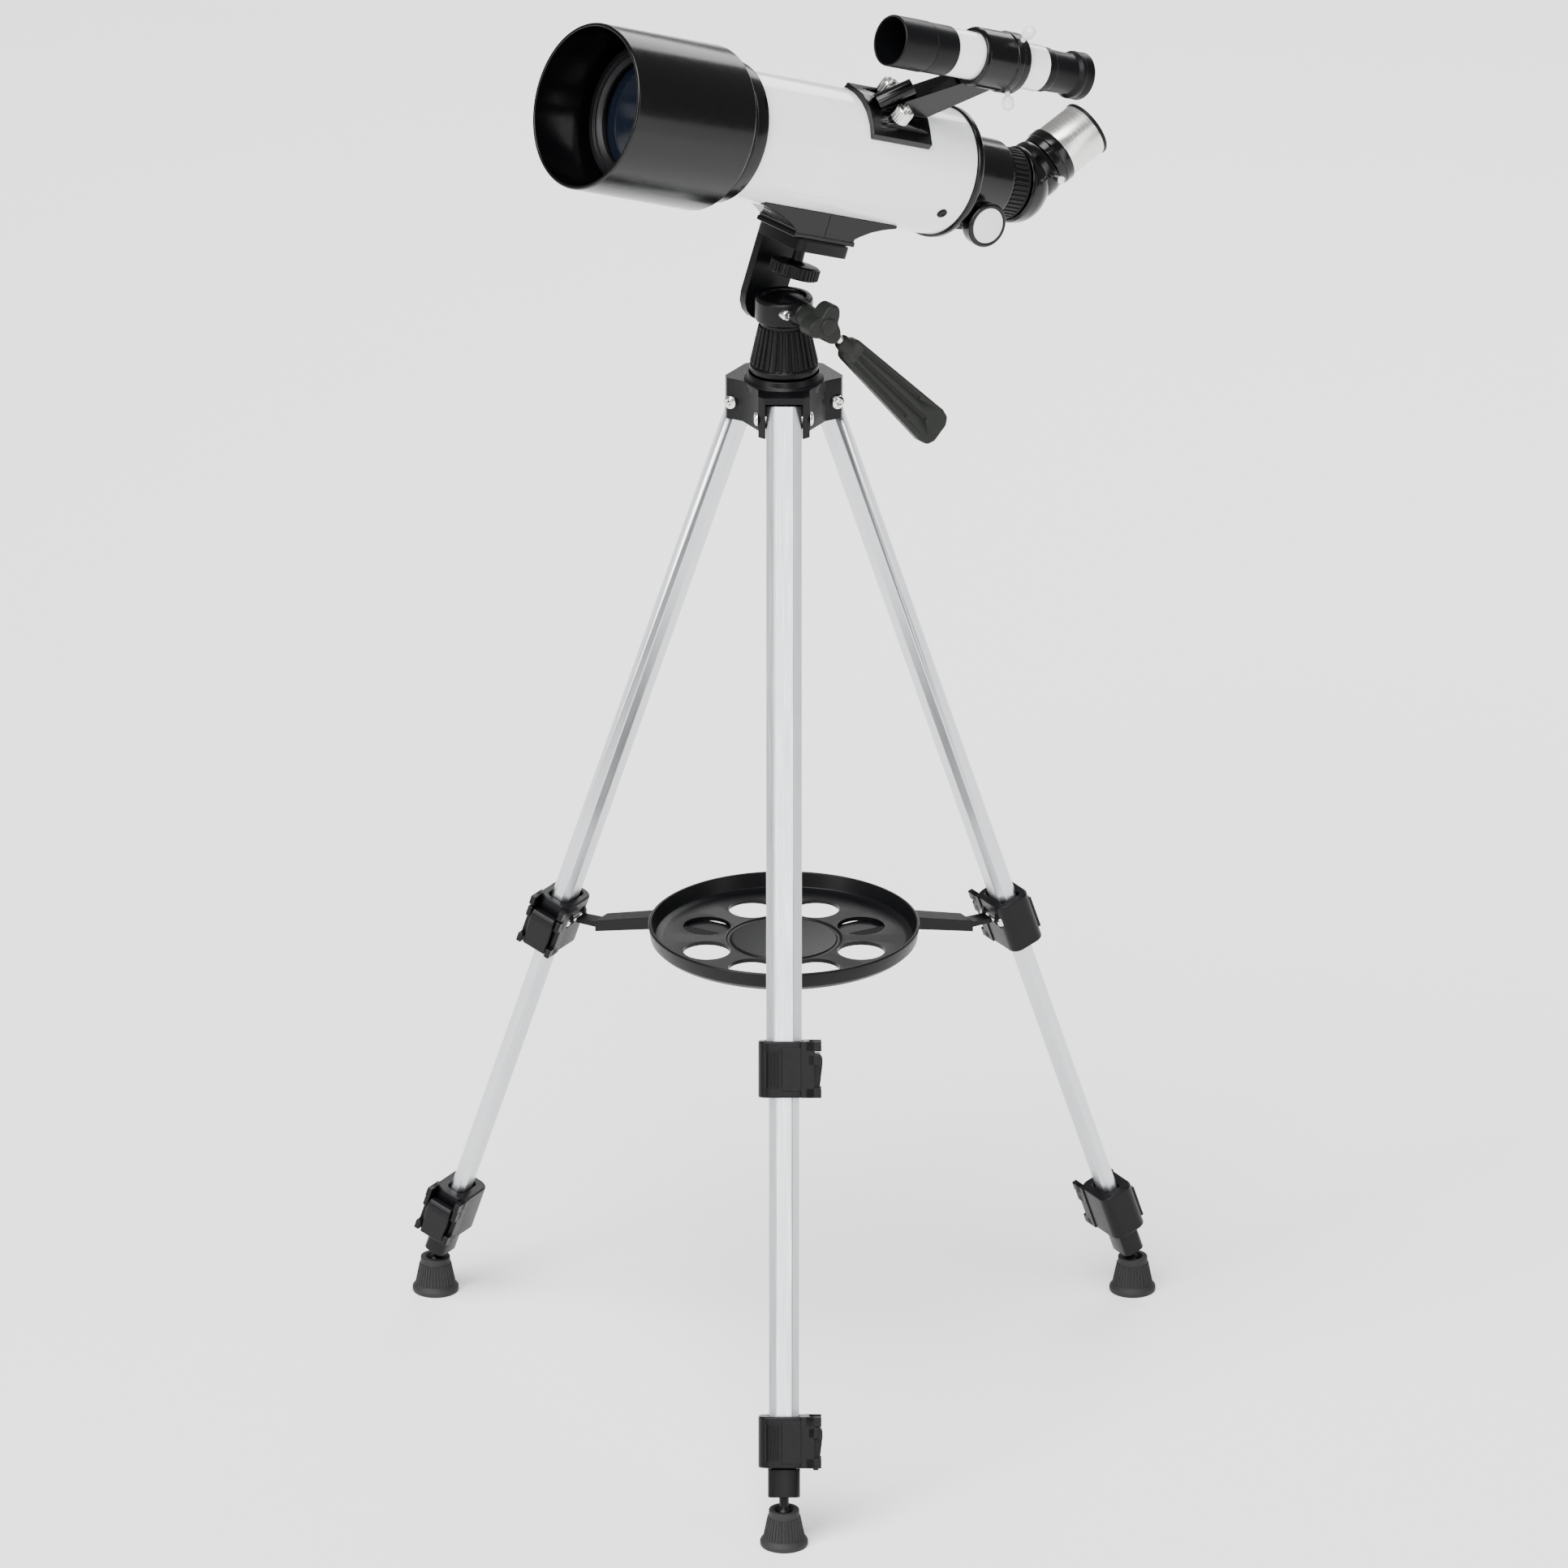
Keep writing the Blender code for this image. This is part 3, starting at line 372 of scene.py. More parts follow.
def soften(outline, radius, closed):
    """Rounds the corners of a turned outline with short arcs."""
    count = len(outline)
    result = []
    for here in range(count):
        at_end = not closed and here in (0, count - 1)
        now = Vector(outline[here])
        if at_end or now.y == 0:
            result.append(tuple(now))
            continue
        before = Vector(outline[here - 1])
        after = Vector(outline[(here + 1) % count])
        back, ahead = before - now, after - now
        straight = back.length < 1e-7 or ahead.length < 1e-7 or back.angle(ahead) > math.radians(165)
        if straight:
            result.append(tuple(now))
            continue
        reach = min(radius, 0.4 * back.length, 0.4 * ahead.length)
        start = now + back.normalized() * reach
        end = now + ahead.normalized() * reach
        for step in range(5):
            share = step / 4
            point = start * (1 - share) ** 2 + now * 2 * share * (1 - share) + end * share**2
            result.append(tuple(point))
    return result


def turned(outline, along="Z", steps=FINE, place=(0, 0, 0), edge=0.5 * MM):
    """A bmesh of (distance along the axis, radius) pairs turned once round."""
    closed = not (outline[0][1] == 0 and outline[-1][1] == 0)
    points = soften(outline, edge, closed) if edge else outline
    axis = {"X": Vector((1, 0, 0)), "Y": Vector((0, 1, 0)), "Z": Vector((0, 0, 1))}[along]
    outward = {"X": Vector((0, 0, 1)), "Y": Vector((0, 0, 1)), "Z": Vector((1, 0, 0))}[along]
    mesh = bmesh.new()
    centre = Vector(place)
    ring = [mesh.verts.new(centre + axis * reach + outward * radius) for reach, radius in points]
    pairs = list(zip(ring, ring[1:])) + ([(ring[-1], ring[0])] if closed else [])
    edges = [mesh.edges.new(pair) for pair in pairs]
    bmesh.ops.spin(
        mesh, geom=ring + edges, cent=centre, axis=axis, angle=math.tau, steps=steps,
        use_merge=True,
    )
    return mesh


def pushed(outline, low, high, across="Z"):
    """A bmesh of an outline pushed straight from low to high."""
    mesh = bmesh.new()

    def spot(u, v, w):
        return {"X": (w, u, v), "Y": (u, w, v), "Z": (u, v, w)}[across]

    face = mesh.faces.new([mesh.verts.new(spot(u, v, low)) for u, v in outline])
    grown = bmesh.ops.extrude_face_region(mesh, geom=[face])
    moved = [item for item in grown["geom"] if isinstance(item, bmesh.types.BMVert)]
    bmesh.ops.translate(mesh, verts=moved, vec=Vector(spot(0, 0, high - low)))
    return mesh


def mm(*pairs):
    """The points of an outline, given in millimetres."""
    return [(first * MM, second * MM) for first, second in pairs]


def rounded_box(width, depth, radius, arc=6):
    """The outline of a rectangle with rounded corners, round its own middle."""
    points = []
    for corner in range(4):
        sign_x = 1 if corner in (0, 3) else -1
        sign_y = 1 if corner < 2 else -1
        for step in range(arc + 1):
            angle = math.radians(90 * corner + 90 * step / arc)
            x = sign_x * (width / 2 - radius) + radius * math.cos(angle)
            y = sign_y * (depth / 2 - radius) + radius * math.sin(angle)
            points.append((x, y))
    return points


def settled(mesh, at):
    """Merges a bmesh's doubles, turns its faces outwards and puts it in place."""
    bmesh.ops.remove_doubles(mesh, verts=mesh.verts, dist=1e-7)
    bmesh.ops.recalc_face_normals(mesh, faces=mesh.faces)
    mesh.transform(at)
    return mesh


def as_object(name, mesh, material, smooth=32):
    """An object at the origin from a finished bmesh."""
    data = bpy.data.meshes.new(name)
    mesh.to_mesh(data)
    mesh.free()
    data.shade_smooth()
    data.set_sharp_from_angle(angle=math.radians(smooth))
    made = bpy.data.objects.new(name, data)
    bpy.context.scene.collection.objects.link(made)
    data.materials.append(material)
    return made


def bake_modifiers(thing):
    """Applies an object's modifiers to its mesh."""
    graph = bpy.context.evaluated_depsgraph_get()
    data = bpy.data.meshes.new_from_object(thing.evaluated_get(graph))
    thing.modifiers.clear()
    thing.data = data
    return thing


def rounded(thing, width, segments=3, limit=30):
    """Puts a radius on a piece's edges."""
    bevel = thing.modifiers.new("edges", "BEVEL")
    bevel.width = width
    bevel.segments = segments
    bevel.limit_method = "ANGLE"
    bevel.angle_limit = math.radians(limit)
    bevel.harden_normals = True
    bevel.use_clamp_overlap = True
    return bake_modifiers(thing)


def joined(name, things):
    """One object holding the meshes of several."""
    mesh = bmesh.new()
    materials = []
    for thing in things:
        offset = len(mesh.faces)
        for material in thing.data.materials:
            if material not in materials:
                materials.append(material)
        mesh.from_mesh(thing.data)
        mesh.faces.ensure_lookup_table()
        for face in mesh.faces[offset:]:
            face.material_index = materials.index(thing.data.materials[face.material_index])
    data = bpy.data.meshes.new(name)
    mesh.to_mesh(data)
    mesh.free()
    for material in materials:
        data.materials.append(material)
    for thing in things:
        bpy.data.objects.remove(thing, do_unlink=True)
    made = bpy.data.objects.new(name, data)
    bpy.context.scene.collection.objects.link(made)
    return made


def hand_over(thing, body, slot, *nodes):
    """Puts a finished piece on its body, in place of the nodes it stands for."""
    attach(thing, body)
    if nodes:
        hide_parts(*nodes)
    return thing


def refined_copy(node, width, material, name, angle=30):
    """A copy of a node's solid with its flat faces merged and its edges rounded."""
    mesh = bmesh.new()
    mesh.from_mesh(frame["nodes"][node].data)
    bmesh.ops.remove_doubles(mesh, verts=mesh.verts, dist=1e-6)
    bmesh.ops.dissolve_limit(
        mesh, angle_limit=math.radians(0.6), verts=mesh.verts, edges=mesh.edges,
    )
    bmesh.ops.recalc_face_normals(mesh, faces=mesh.faces)
    thing = as_object(name, mesh, material, smooth=angle)
    return rounded(thing, width, limit=angle)


def carved(thing, cutter):
    """Cuts one object from another, and removes the second."""
    step = thing.modifiers.new("carve", "BOOLEAN")
    step.operation = "DIFFERENCE"
    step.solver = "EXACT"
    step.object = cutter
    bake_modifiers(thing)
    bpy.data.objects.remove(cutter, do_unlink=True)
    return thing


# Geometry Nodes: pieces that repeat round an axis


def ring_tree():
    """Posts set round a circle, each turned to face out and leaned by one angle."""
    tree = bpy.data.node_groups.new("posts_round_a_circle", "GeometryNodeTree")
    sockets = (
        ("Count", "NodeSocketInt", 12), ("Circle Radius", "NodeSocketFloat", 0.02),
        ("Post Radius", "NodeSocketFloat", 0.001), ("Post Length", "NodeSocketFloat", 0.01),
        ("Post Sides", "NodeSocketInt", 10), ("Lean", "NodeSocketFloat", 0.0),
        ("Start Angle", "NodeSocketFloat", 0.0), ("Material", "NodeSocketMaterial", None),
    )
    for name, kind, default in sockets:
        made = tree.interface.new_socket(name, in_out="INPUT", socket_type=kind)
        if default is not None:
            made.default_value = default
    tree.interface.new_socket("Geometry", in_out="OUTPUT", socket_type="NodeSocketGeometry")
    given = tree.nodes.new("NodeGroupInput").outputs
    index = add_node(tree, "GeometryNodeInputIndex").outputs[0]
    turn = add_node(tree, "ShaderNodeMath", {"operation": "DIVIDE"}, i0=math.tau, i1=given["Count"])
    angle = add_node(tree, "ShaderNodeMath", {"operation": "MULTIPLY"}, i0=index, i1=turn.outputs[0])
    angle = add_node(
        tree, "ShaderNodeMath", {"operation": "ADD"}, i0=angle.outputs[0], i1=given["Start Angle"]
    ).outputs[0]
    sides = []
    for way in ("COSINE", "SINE"):
        wave = add_node(tree, "ShaderNodeMath", {"operation": way}, i0=angle)
        sides.append(
            add_node(
                tree,
                "ShaderNodeMath",
                {"operation": "MULTIPLY"},
                i0=wave.outputs[0],
                i1=given["Circle Radius"],
            ).outputs[0]
        )
    spot = add_node(tree, "ShaderNodeCombineXYZ", X=sides[0], Y=sides[1])
    points = add_node(tree, "GeometryNodePoints", Count=given["Count"], Position=spot.outputs[0])
    post = add_node(
        tree, "GeometryNodeMeshCylinder", Vertices=given["Post Sides"], Radius=given["Post Radius"],
        Depth=given["Post Length"],
    )
    facing = add_node(tree, "ShaderNodeCombineXYZ", Y=given["Lean"], Z=angle)
    copies = add_node(
        tree, "GeometryNodeInstanceOnPoints", Points=points.outputs[0],
        Instance=post.outputs["Mesh"], Rotation=facing.outputs[0],
    )
    real = add_node(tree, "GeometryNodeRealizeInstances", Geometry=copies.outputs[0])
    painted = add_node(
        tree, "GeometryNodeSetMaterial", Geometry=real.outputs[0], Material=given["Material"],
    )
    end = tree.nodes.new("NodeGroupOutput")
    tree.links.new(painted.outputs[0], end.inputs[0])
    return tree


def posts(name, at, material, **sizes):
    """A baked ring of posts, put in place by a matrix."""
    tree = bpy.data.node_groups.get("posts_round_a_circle") or ring_tree()
    carrier = bpy.data.objects.new(name + "_maker", bpy.data.meshes.new(name + "_maker"))
    bpy.context.scene.collection.objects.link(carrier)
    step = carrier.modifiers.new("posts", "NODES")
    step.node_group = tree
    wanted = {"Material": material}
    wanted.update({key.replace("_", " ").title(): value for key, value in sizes.items()})
    for item in tree.interface.items_tree:
        if item.in_out == "INPUT" and item.name in wanted:
            step[item.identifier] = wanted[item.name]
    carrier.update_tag()
    graph = bpy.context.evaluated_depsgraph_get()
    data = bpy.data.meshes.new_from_object(carrier.evaluated_get(graph))
    bpy.data.objects.remove(carrier, do_unlink=True)
    data.transform(at)
    data.shade_smooth()
    data.set_sharp_from_angle(angle=math.radians(45))
    if not data.materials:
        data.materials.append(material)
    made = bpy.data.objects.new(name, data)
    bpy.context.scene.collection.objects.link(made)
    return made


def along_x(at, x):
    """A frame whose Z runs along the X of at, moved x along it."""
    return at @ Matrix.Translation((x, 0, 0)) @ Matrix.Rotation(math.radians(90), 4, "Y")


def lathe_piece(name, outline, at, finish, along="X", steps=FINE, place=(0, 0, 0), edge=0.5 * MM):
    """An object of a turned outline, in place and with its finish."""
    mesh = settled(turned(outline, along, steps, place, edge), at)
    return as_object(name, mesh, FINISH[finish])


# The pieces


def make_tube():
    """The enamelled tube, its shield and the objective."""
    wall = 1.4
    radius = 39
    tube = mm((-84, radius), (138, radius), (138, radius - wall), (-84, radius - wall))
    made = lathe_piece("white_main_tube", tube, OPTICAL, "white_enamel")
    hand_over(made, "telescope", "white_enamel", "main_tube")
    bore = 39.3
    shield = mm(
        (83, bore), (83, 43.2), (84.5, 43.5), (91.5, 43.5), (92, 43.1), (92.8, 44), (99, 50),
        (188, 50), (189, 49.4), (189, 47.9), (188, 47.6), (100, 47.6), (95, bore),
    )
    made = lathe_piece("dew_shield_finished", shield, OPTICAL, "gloss_black", edge=0.8 * MM)
    hand_over(made, "telescope", "gloss_black", "dew_shield")
    cell = mm(
        (127, bore), (127, 44), (150, 44), (152, 42), (152, 38.4), (151, 38), (151, 36.5),
        (149, 33.4), (147.5, 33), (147.5, 35.6), (138.3, 35.6), (138.3, bore),
    )
    ring = lathe_piece("cell_ring", cell, OPTICAL, "satin_black")
    notches = posts(
        "cell_notches", along_x(OPTICAL, 151.6 * MM), FINISH["satin_black"], count=3,
        circle_radius=40.2 * MM, post_radius=1.3 * MM, post_length=1.6 * MM, post_sides=24,
    )
    made = joined("objective_cell_finished", [ring, notches])
    hand_over(made, "telescope", "satin_black", "objective_cell")
    # The front face of the glass is a true shallow dome.
    depth = 3.6 * MM
    lens = mm((139.6, 0), (141, 35.2), (143.6, 35.2))
    for step in range(1, 13):
        share = 1 - step / 12
        lens.append((143.6 * MM + depth * (1 - share**2), 35.2 * MM * share))
    made = lathe_piece("objective_glass", lens, OPTICAL, "glass", edge=0)
    hand_over(made, "telescope", "lens_glass", "objective_lens")
    # Three small black screws hold the focuser in the tube's rear rim.
    for index, angle in enumerate((-60, 60, 180)):
        turn = OPTICAL @ Matrix.Rotation(math.radians(angle + 180), 4, "X")
        screw = mm(
            (38.2, 0), (38.2, 3.3), (39.6, 3.3), (40.3, 2.2), (40.3, 1.3), (39.7, 1.1), (39.7, 0),
        )
        made = lathe_piece(
            "rear_rim_screw_" + str(index), screw, turn, "satin_black", "Z", SMALL,
            (-70 * MM, 0, 0), 0.2 * MM,
        )
        hand_over(made, "telescope", "satin_black")


def make_focuser(sizes):
    """The focuser casting, the draw tube with its ribbed collar, and the knobs."""
    rear = -127
    bore = 17.9
    outline = mm(
        (rear, bore), (rear, 24), (rear + 1.5, 25), (-93, 26), (-91.5, 30), (-90, 38.6),
        (-88, 40.5), (-84.3, 40.5), (-84.3, 37.2), (-72, 37.2), (-72, 34), (-82, bore),
    )
    casting = lathe_piece("casting", outline, OPTICAL, "gloss_black", edge=1.2 * MM)
    pinion_x = PINION.x
    housing = [
        (pinion_x - 13 * MM, -16 * MM), (pinion_x - 13 * MM, -24 * MM),
        (pinion_x - 11.5 * MM, -27.5 * MM), (pinion_x - 8 * MM, -30.5 * MM),
        (pinion_x + 9 * MM, -32 * MM), (-89 * MM, -32 * MM), (-89 * MM, -16 * MM),
    ]
    rack_house = as_object(
        "rack_housing", settled(pushed(housing, -13 * MM, 13 * MM, "Y"), OPTICAL),
        FINISH["gloss_black"],
    )
    rounded(rack_house, 1.6 * MM, 4)
    bosses = []
    for sign in (-1, 1):
        boss = mm(
            (sign * 12, 0), (sign * 12, 7), (sign * 19, 5.6), (sign * 25.6, 4.8), (sign * 25.6, 0),
        )
        bosses.append(
            lathe_piece("pinion_boss", boss, OPTICAL, "gloss_black", "Y", MEDIUM, PINION, 0.4 * MM),
        )
    screws = []
    for step in (-1, 1):
        head = mm((-33.2, 0), (-33.2, 1.9), (-31.6, 2.1), (-31.6, 0))
        screws.append(
            lathe_piece(
                "housing_screw", head, OPTICAL, "bright_metal", "Z", SMALL,
                (pinion_x + 4 * MM, step * 8 * MM, 0), 0.2 * MM,
            ),
        )
    made = joined("focuser_finished", [casting, rack_house, *bosses, *screws])
    hand_over(made, "telescope", "gloss_black", "focuser_body")
    start = rear - 0.3
    draw = mm(
        (start, 17.6), (start, 21.2), (start - 1.2, 22), (start - 2.4, 21.2), (start - 13, 21.2),
        (start - 14, 22), (start - 15.2, 21.2), (start - 15.2, 16.2), (-60, 16.2), (-60, 17.6),
    )
    body = lathe_piece("draw_body", draw, OPTICAL, "satin_black")
    ribs = posts(
        "collar_ribs", along_x(OPTICAL, (start - 7.7) * MM), FINISH["satin_black"],
        count=sizes.collar_ribs, circle_radius=21.0 * MM, post_radius=0.95 * MM,
        post_length=10.8 * MM, post_sides=10,
    )
    hand_over(joined("draw_tube_finished", [body, ribs]), "draw", "satin_black", "draw_tube")
    shaft = mm((-33.6, 0), (-33.6, 2.4), (33.6, 2.4), (33.6, 0))
    made = lathe_piece("pinion_shaft_finished", shaft, OPTICAL, "bright_metal", "Y", SMALL, PINION)
    hand_over(made, "pinion", "steel", "pinion_shaft")
    for place, sign in (("left", 1), ("right", -1)):
        knob = mm(
            (sign * 33.9, 0), (sign * 33.9, 2.7), (sign * 26.4, 2.7), (sign * 26.4, 9),
            (sign * 27.4, 12.6), (sign * 29, 13.4), (sign * 36.2, 13.8), (sign * 37.3, 12.9),
            (sign * 37.3, 11.4), (sign * 36.7, 11.2), (sign * 36.7, 0),
        )
        body = lathe_piece("knob", knob, OPTICAL, "gloss_black", "Y", FINE, PINION, 0.7 * MM)
        cap = mm((sign * 36.6, 0), (sign * 36.6, 11.0), (sign * 37.2, 10.8), (sign * 37.5, 0))
        disc = lathe_piece("cap", cap, OPTICAL, "pale_cap", "Y", FINE, PINION, 0.3 * MM)
        made = joined("focus_knob_finished_" + place, [body, disc])
        hand_over(made, "pinion", "satin_black", "focus_knob_" + place)


def make_diagonal():
    """The erecting diagonal and the eyepiece."""
    front = -142.8
    outline = mm(
        (-121, 0), (-121, 15.8), (front, 15.8), (front, 22.6), (front - 1.6, 23.5),
        (front - 3.4, 23.5),
    )
    # The back of the housing is a smooth dome.
    for step in range(0, 13):
        angle = math.radians(90 * step / 12)
        outline += mm((front - 5 - 18 * math.sin(angle), 23.2 * math.cos(angle)))
    outline[-1] = (outline[-1][0], 0)
    dome = lathe_piece("dome", outline, OPTICAL, "gloss_black", edge=0.4 * MM)
    neck = mm((4, 0), (4, 13), (13.2, 18.4), (19, 18.2), (22, 17.2), (22, 0))
    neck_piece = lathe_piece("neck", neck, EYE, "gloss_black", "Z", edge=1.2 * MM)
    screw = mm((17, 0), (17, 1.6), (21, 1.6), (21.4, 2.6), (26, 2.6), (26.4, 2), (26.4, 0))
    side = EYE @ Matrix.Translation((0, 0, 17.6 * MM))
    thumb = lathe_piece("set_screw", screw, side, "bright_metal", "Y", SMALL, edge=0.2 * MM)
    made = joined("diagonal_finished", [dome, neck_piece, thumb])
    hand_over(made, "diagonal", "gloss_black", "diagonal_housing")
    black = mm(
        (13, 11.6), (13, 13.2), (22.4, 13.2), (22.4, 17.0), (27, 17.4), (27.5, 18.2), (33, 18.2),
        (33.4, 17.2), (34, 17.2), (34, 11.6),
    )
    lower = lathe_piece("eyepiece_socket", black, EYE, "gloss_black", "Z", edge=0.5 * MM)
    silver = mm((33.5, 12), (33.5, 17.4), (58.2, 17.4), (58.2, 12))
    barrel = lathe_piece("eyepiece_sleeve", silver, EYE, "turned_aluminium", "Z", edge=0.3 * MM)
    rim = mm(
        (58.0, 12.4), (58.0, 17.6), (58.6, 17.9), (60, 17.9), (60.6, 17.2), (60.2, 15), (56, 11.6),
        (40, 11.6), (40, 12.4),
    )
    eye_cup = lathe_piece("eye_cup", rim, EYE, "satin_black", "Z", edge=0.4 * MM)
    made = joined("eyepiece_finished", [lower, barrel, eye_cup])
    hand_over(made, "eyepiece", "eyepiece_metal", "eyepiece_barrel")
    lens = mm((50, 0), (50.6, 11.2), (53.6, 11.2), (54.6, 6), (55, 0))
    made = lathe_piece("eye_glass", lens, EYE, "glass", "Z", MEDIUM, edge=0)
    hand_over(made, "eyepiece", "lens_glass", "eye_lens")


def make_finder():
    """The finder, its stalked bracket, its thumbscrews and the two knurled nuts."""
    tube = mm((-98, 13.2), (-98, 14.4), (-26, 14.4), (-26, 13.2))
    made = lathe_piece("finder_tube_finished", tube, FINDER, "white_enamel")
    hand_over(made, "telescope", "white_enamel", "finder_tube")
    hood = mm(
        (-36, 12.9), (-25.7, 12.9), (-25.7, 15.2), (-9, 15.2), (-8.6, 14.9), (-8, 15.6),
        (16.4, 15.6), (17, 15.0), (16.6, 14.2), (-14, 14.2), (-14, 11.4), (-36, 11.4),
    )
    made = lathe_piece("finder_hood_finished", hood, FINDER, "satin_black")
    hand_over(made, "telescope", "satin_black", "finder_hood")
    lens = mm((-20, 0), (-19.6, 11), (-18, 11), (-16.8, 6), (-16.2, 0))
    made = lathe_piece("finder_glass", lens, FINDER, "glass", steps=MEDIUM, edge=0)
    hand_over(made, "telescope", "lens_glass", "finder_lens")
    eyepiece = mm(
        (-90, 12.9), (-98.3, 12.9), (-98.3, 13.6), (-104, 13.6), (-105, 12.8), (-122, 12.4),
        (-124.5, 14.4), (-126, 14.6), (-128, 14.2), (-130, 14.6), (-133, 14.6), (-134, 13.6),
        (-134, 8), (-129, 5), (-90, 5),
    )
    eye_end = lathe_piece("finder_eye", eyepiece, FINDER, "satin_black", edge=0.4 * MM)
    pupil = mm((-128, 0), (-128, 5.2), (-126, 5.2), (-126, 0))
    glass = lathe_piece("finder_pupil", pupil, FINDER, "glass", steps=SMALL)
    made = joined("finder_eyepiece_finished", [eye_end, glass])
    hand_over(made, "finder_focus", "satin_black", "finder_eyepiece")
    casting = refined_copy("finder_bracket", 0.8 * MM, FINISH["gloss_black"], "bracket_casting")
    ring = mm(
        (-80, 15.1), (-80, 17.6), (-78.5, 18.7), (-75, 18.7), (-74.4, 18.2), (-73.8, 18.7),
        (-70, 18.7), (-69, 17.9), (-48, 17.9), (-46, 16.8), (-46, 15.1),
    )
    smooth_ring = lathe_piece("bracket_ring", ring, FINDER, "gloss_black", edge=0.5 * MM)
    # A moulded socket runs down the front of the stalk, and thin ribs stiffen its foot.
    socket = mm((38.5, 0), (38.5, 5.4), (62, 5.0), (62, 3.9), (46, 3.9), (46, 0))
    lean_back = LEAN @ Matrix.Translation((2 * MM, 0, 0)) @ Matrix.Rotation(math.radians(-42), 4, "Y")
    mouth = lathe_piece("bracket_socket", socket, lean_back, "gloss_black", "Z", MEDIUM, (22 * MM, 0, 0))
    webs = []
    for side in (-15 * MM, 15 * MM):
        web = mm((-42, 38.5), (-42, 40), (-24, 44), (-6, 40))
        web.append((-6 * MM, 38.5 * MM))
        mesh = settled(pushed(web, side - 0.9 * MM, side + 0.9 * MM, "Y"), LEAN)
        webs.append(rounded(as_object("bracket_web", mesh, FINISH["gloss_black"]), 0.4 * MM))
    made = joined("finder_bracket_finished", [casting, smooth_ring, mouth, *webs])
    hand_over(made, "telescope", "gloss_black", "finder_bracket")
    for index, side in enumerate((-11.5 * MM, 11.5 * MM)):
        knurled_nut("bracket_nut_" + str(index), LEAN @ Matrix.Translation((-19 * MM, side, 0)))
    for index, angle in enumerate((90, -30, -150)):
        turn = FINDER @ Matrix.Rotation(math.radians(angle - 90), 4, "X")
        thumb = mm(
            (14.8, 0), (14.8, 1.5), (21.4, 1.5), (22, 3.1), (24, 3.4), (28, 3.4), (29.5, 2.6),
            (30, 0),
        )
        stem = lathe_piece(
            "thumb_stem", thumb, turn, "pale_cap", "Z", SMALL, (-74.4 * MM, 0, 0), 0.5 * MM,
        )
        grip = posts(
            "thumb_grip", turn @ Matrix.Translation((-74.4 * MM, 0, 26 * MM)), FINISH["pale_cap"],
            count=14, circle_radius=3.3 * MM, post_radius=0.4 * MM, post_length=3.6 * MM,
            post_sides=6,
        )
        hand_over(joined("finder_thumbscrew_" + str(index), [stem, grip]), "telescope", "satin_black")


def knurled_nut(name, at):
    """A bright thumb nut on its stud, standing out from the tube along Z."""
    nut = mm(
        (41.5, 0), (41.5, 4.6), (43, 5.4), (51, 5.4), (52, 4.6), (52, 2.6), (51, 2.2), (53.4, 2.0),
        (53.8, 1.2), (53.8, 0),
    )
    body = lathe_piece("nut_body", nut, at, "bright_metal", "Z", MEDIUM, edge=0.3 * MM)
    knurl = posts(
        "nut_knurl", at @ Matrix.Translation((0, 0, 47 * MM)), FINISH["bright_metal"], count=26,
        circle_radius=5.35 * MM, post_radius=0.42 * MM, post_length=7.6 * MM, post_sides=6,
    )
    hand_over(joined(name, [body, knurl]), "telescope", "steel")


def make_saddle(sizes):
    """The flared saddle under the tube, with its moulded parting line."""
    body = refined_copy("tube_saddle", sizes.moulding_edge, FINISH["gloss_black"], "saddle_body")
    seam = pushed(
        mm((-0.35, 45.6), (0.35, 45.6), (0.35, 63), (-0.35, 63)), -19.25 * MM, 19.25 * MM, "Y",
    )
    line = as_object("saddle_seam", settled(seam, TILT), FINISH["gloss_black"])
    lip = pushed(
        mm((-23.6, 45.5), (23.6, 45.5), (23.6, 48.4), (-23.6, 48.4)), -19.6 * MM, 19.6 * MM, "Y",
    )
    edge = rounded(as_object("saddle_lip", settled(lip, TILT), FINISH["gloss_black"]), 0.6 * MM)
    made = joined("tube_saddle_finished", [body, line, edge])
    hand_over(made, "telescope", "gloss_black", "tube_saddle")


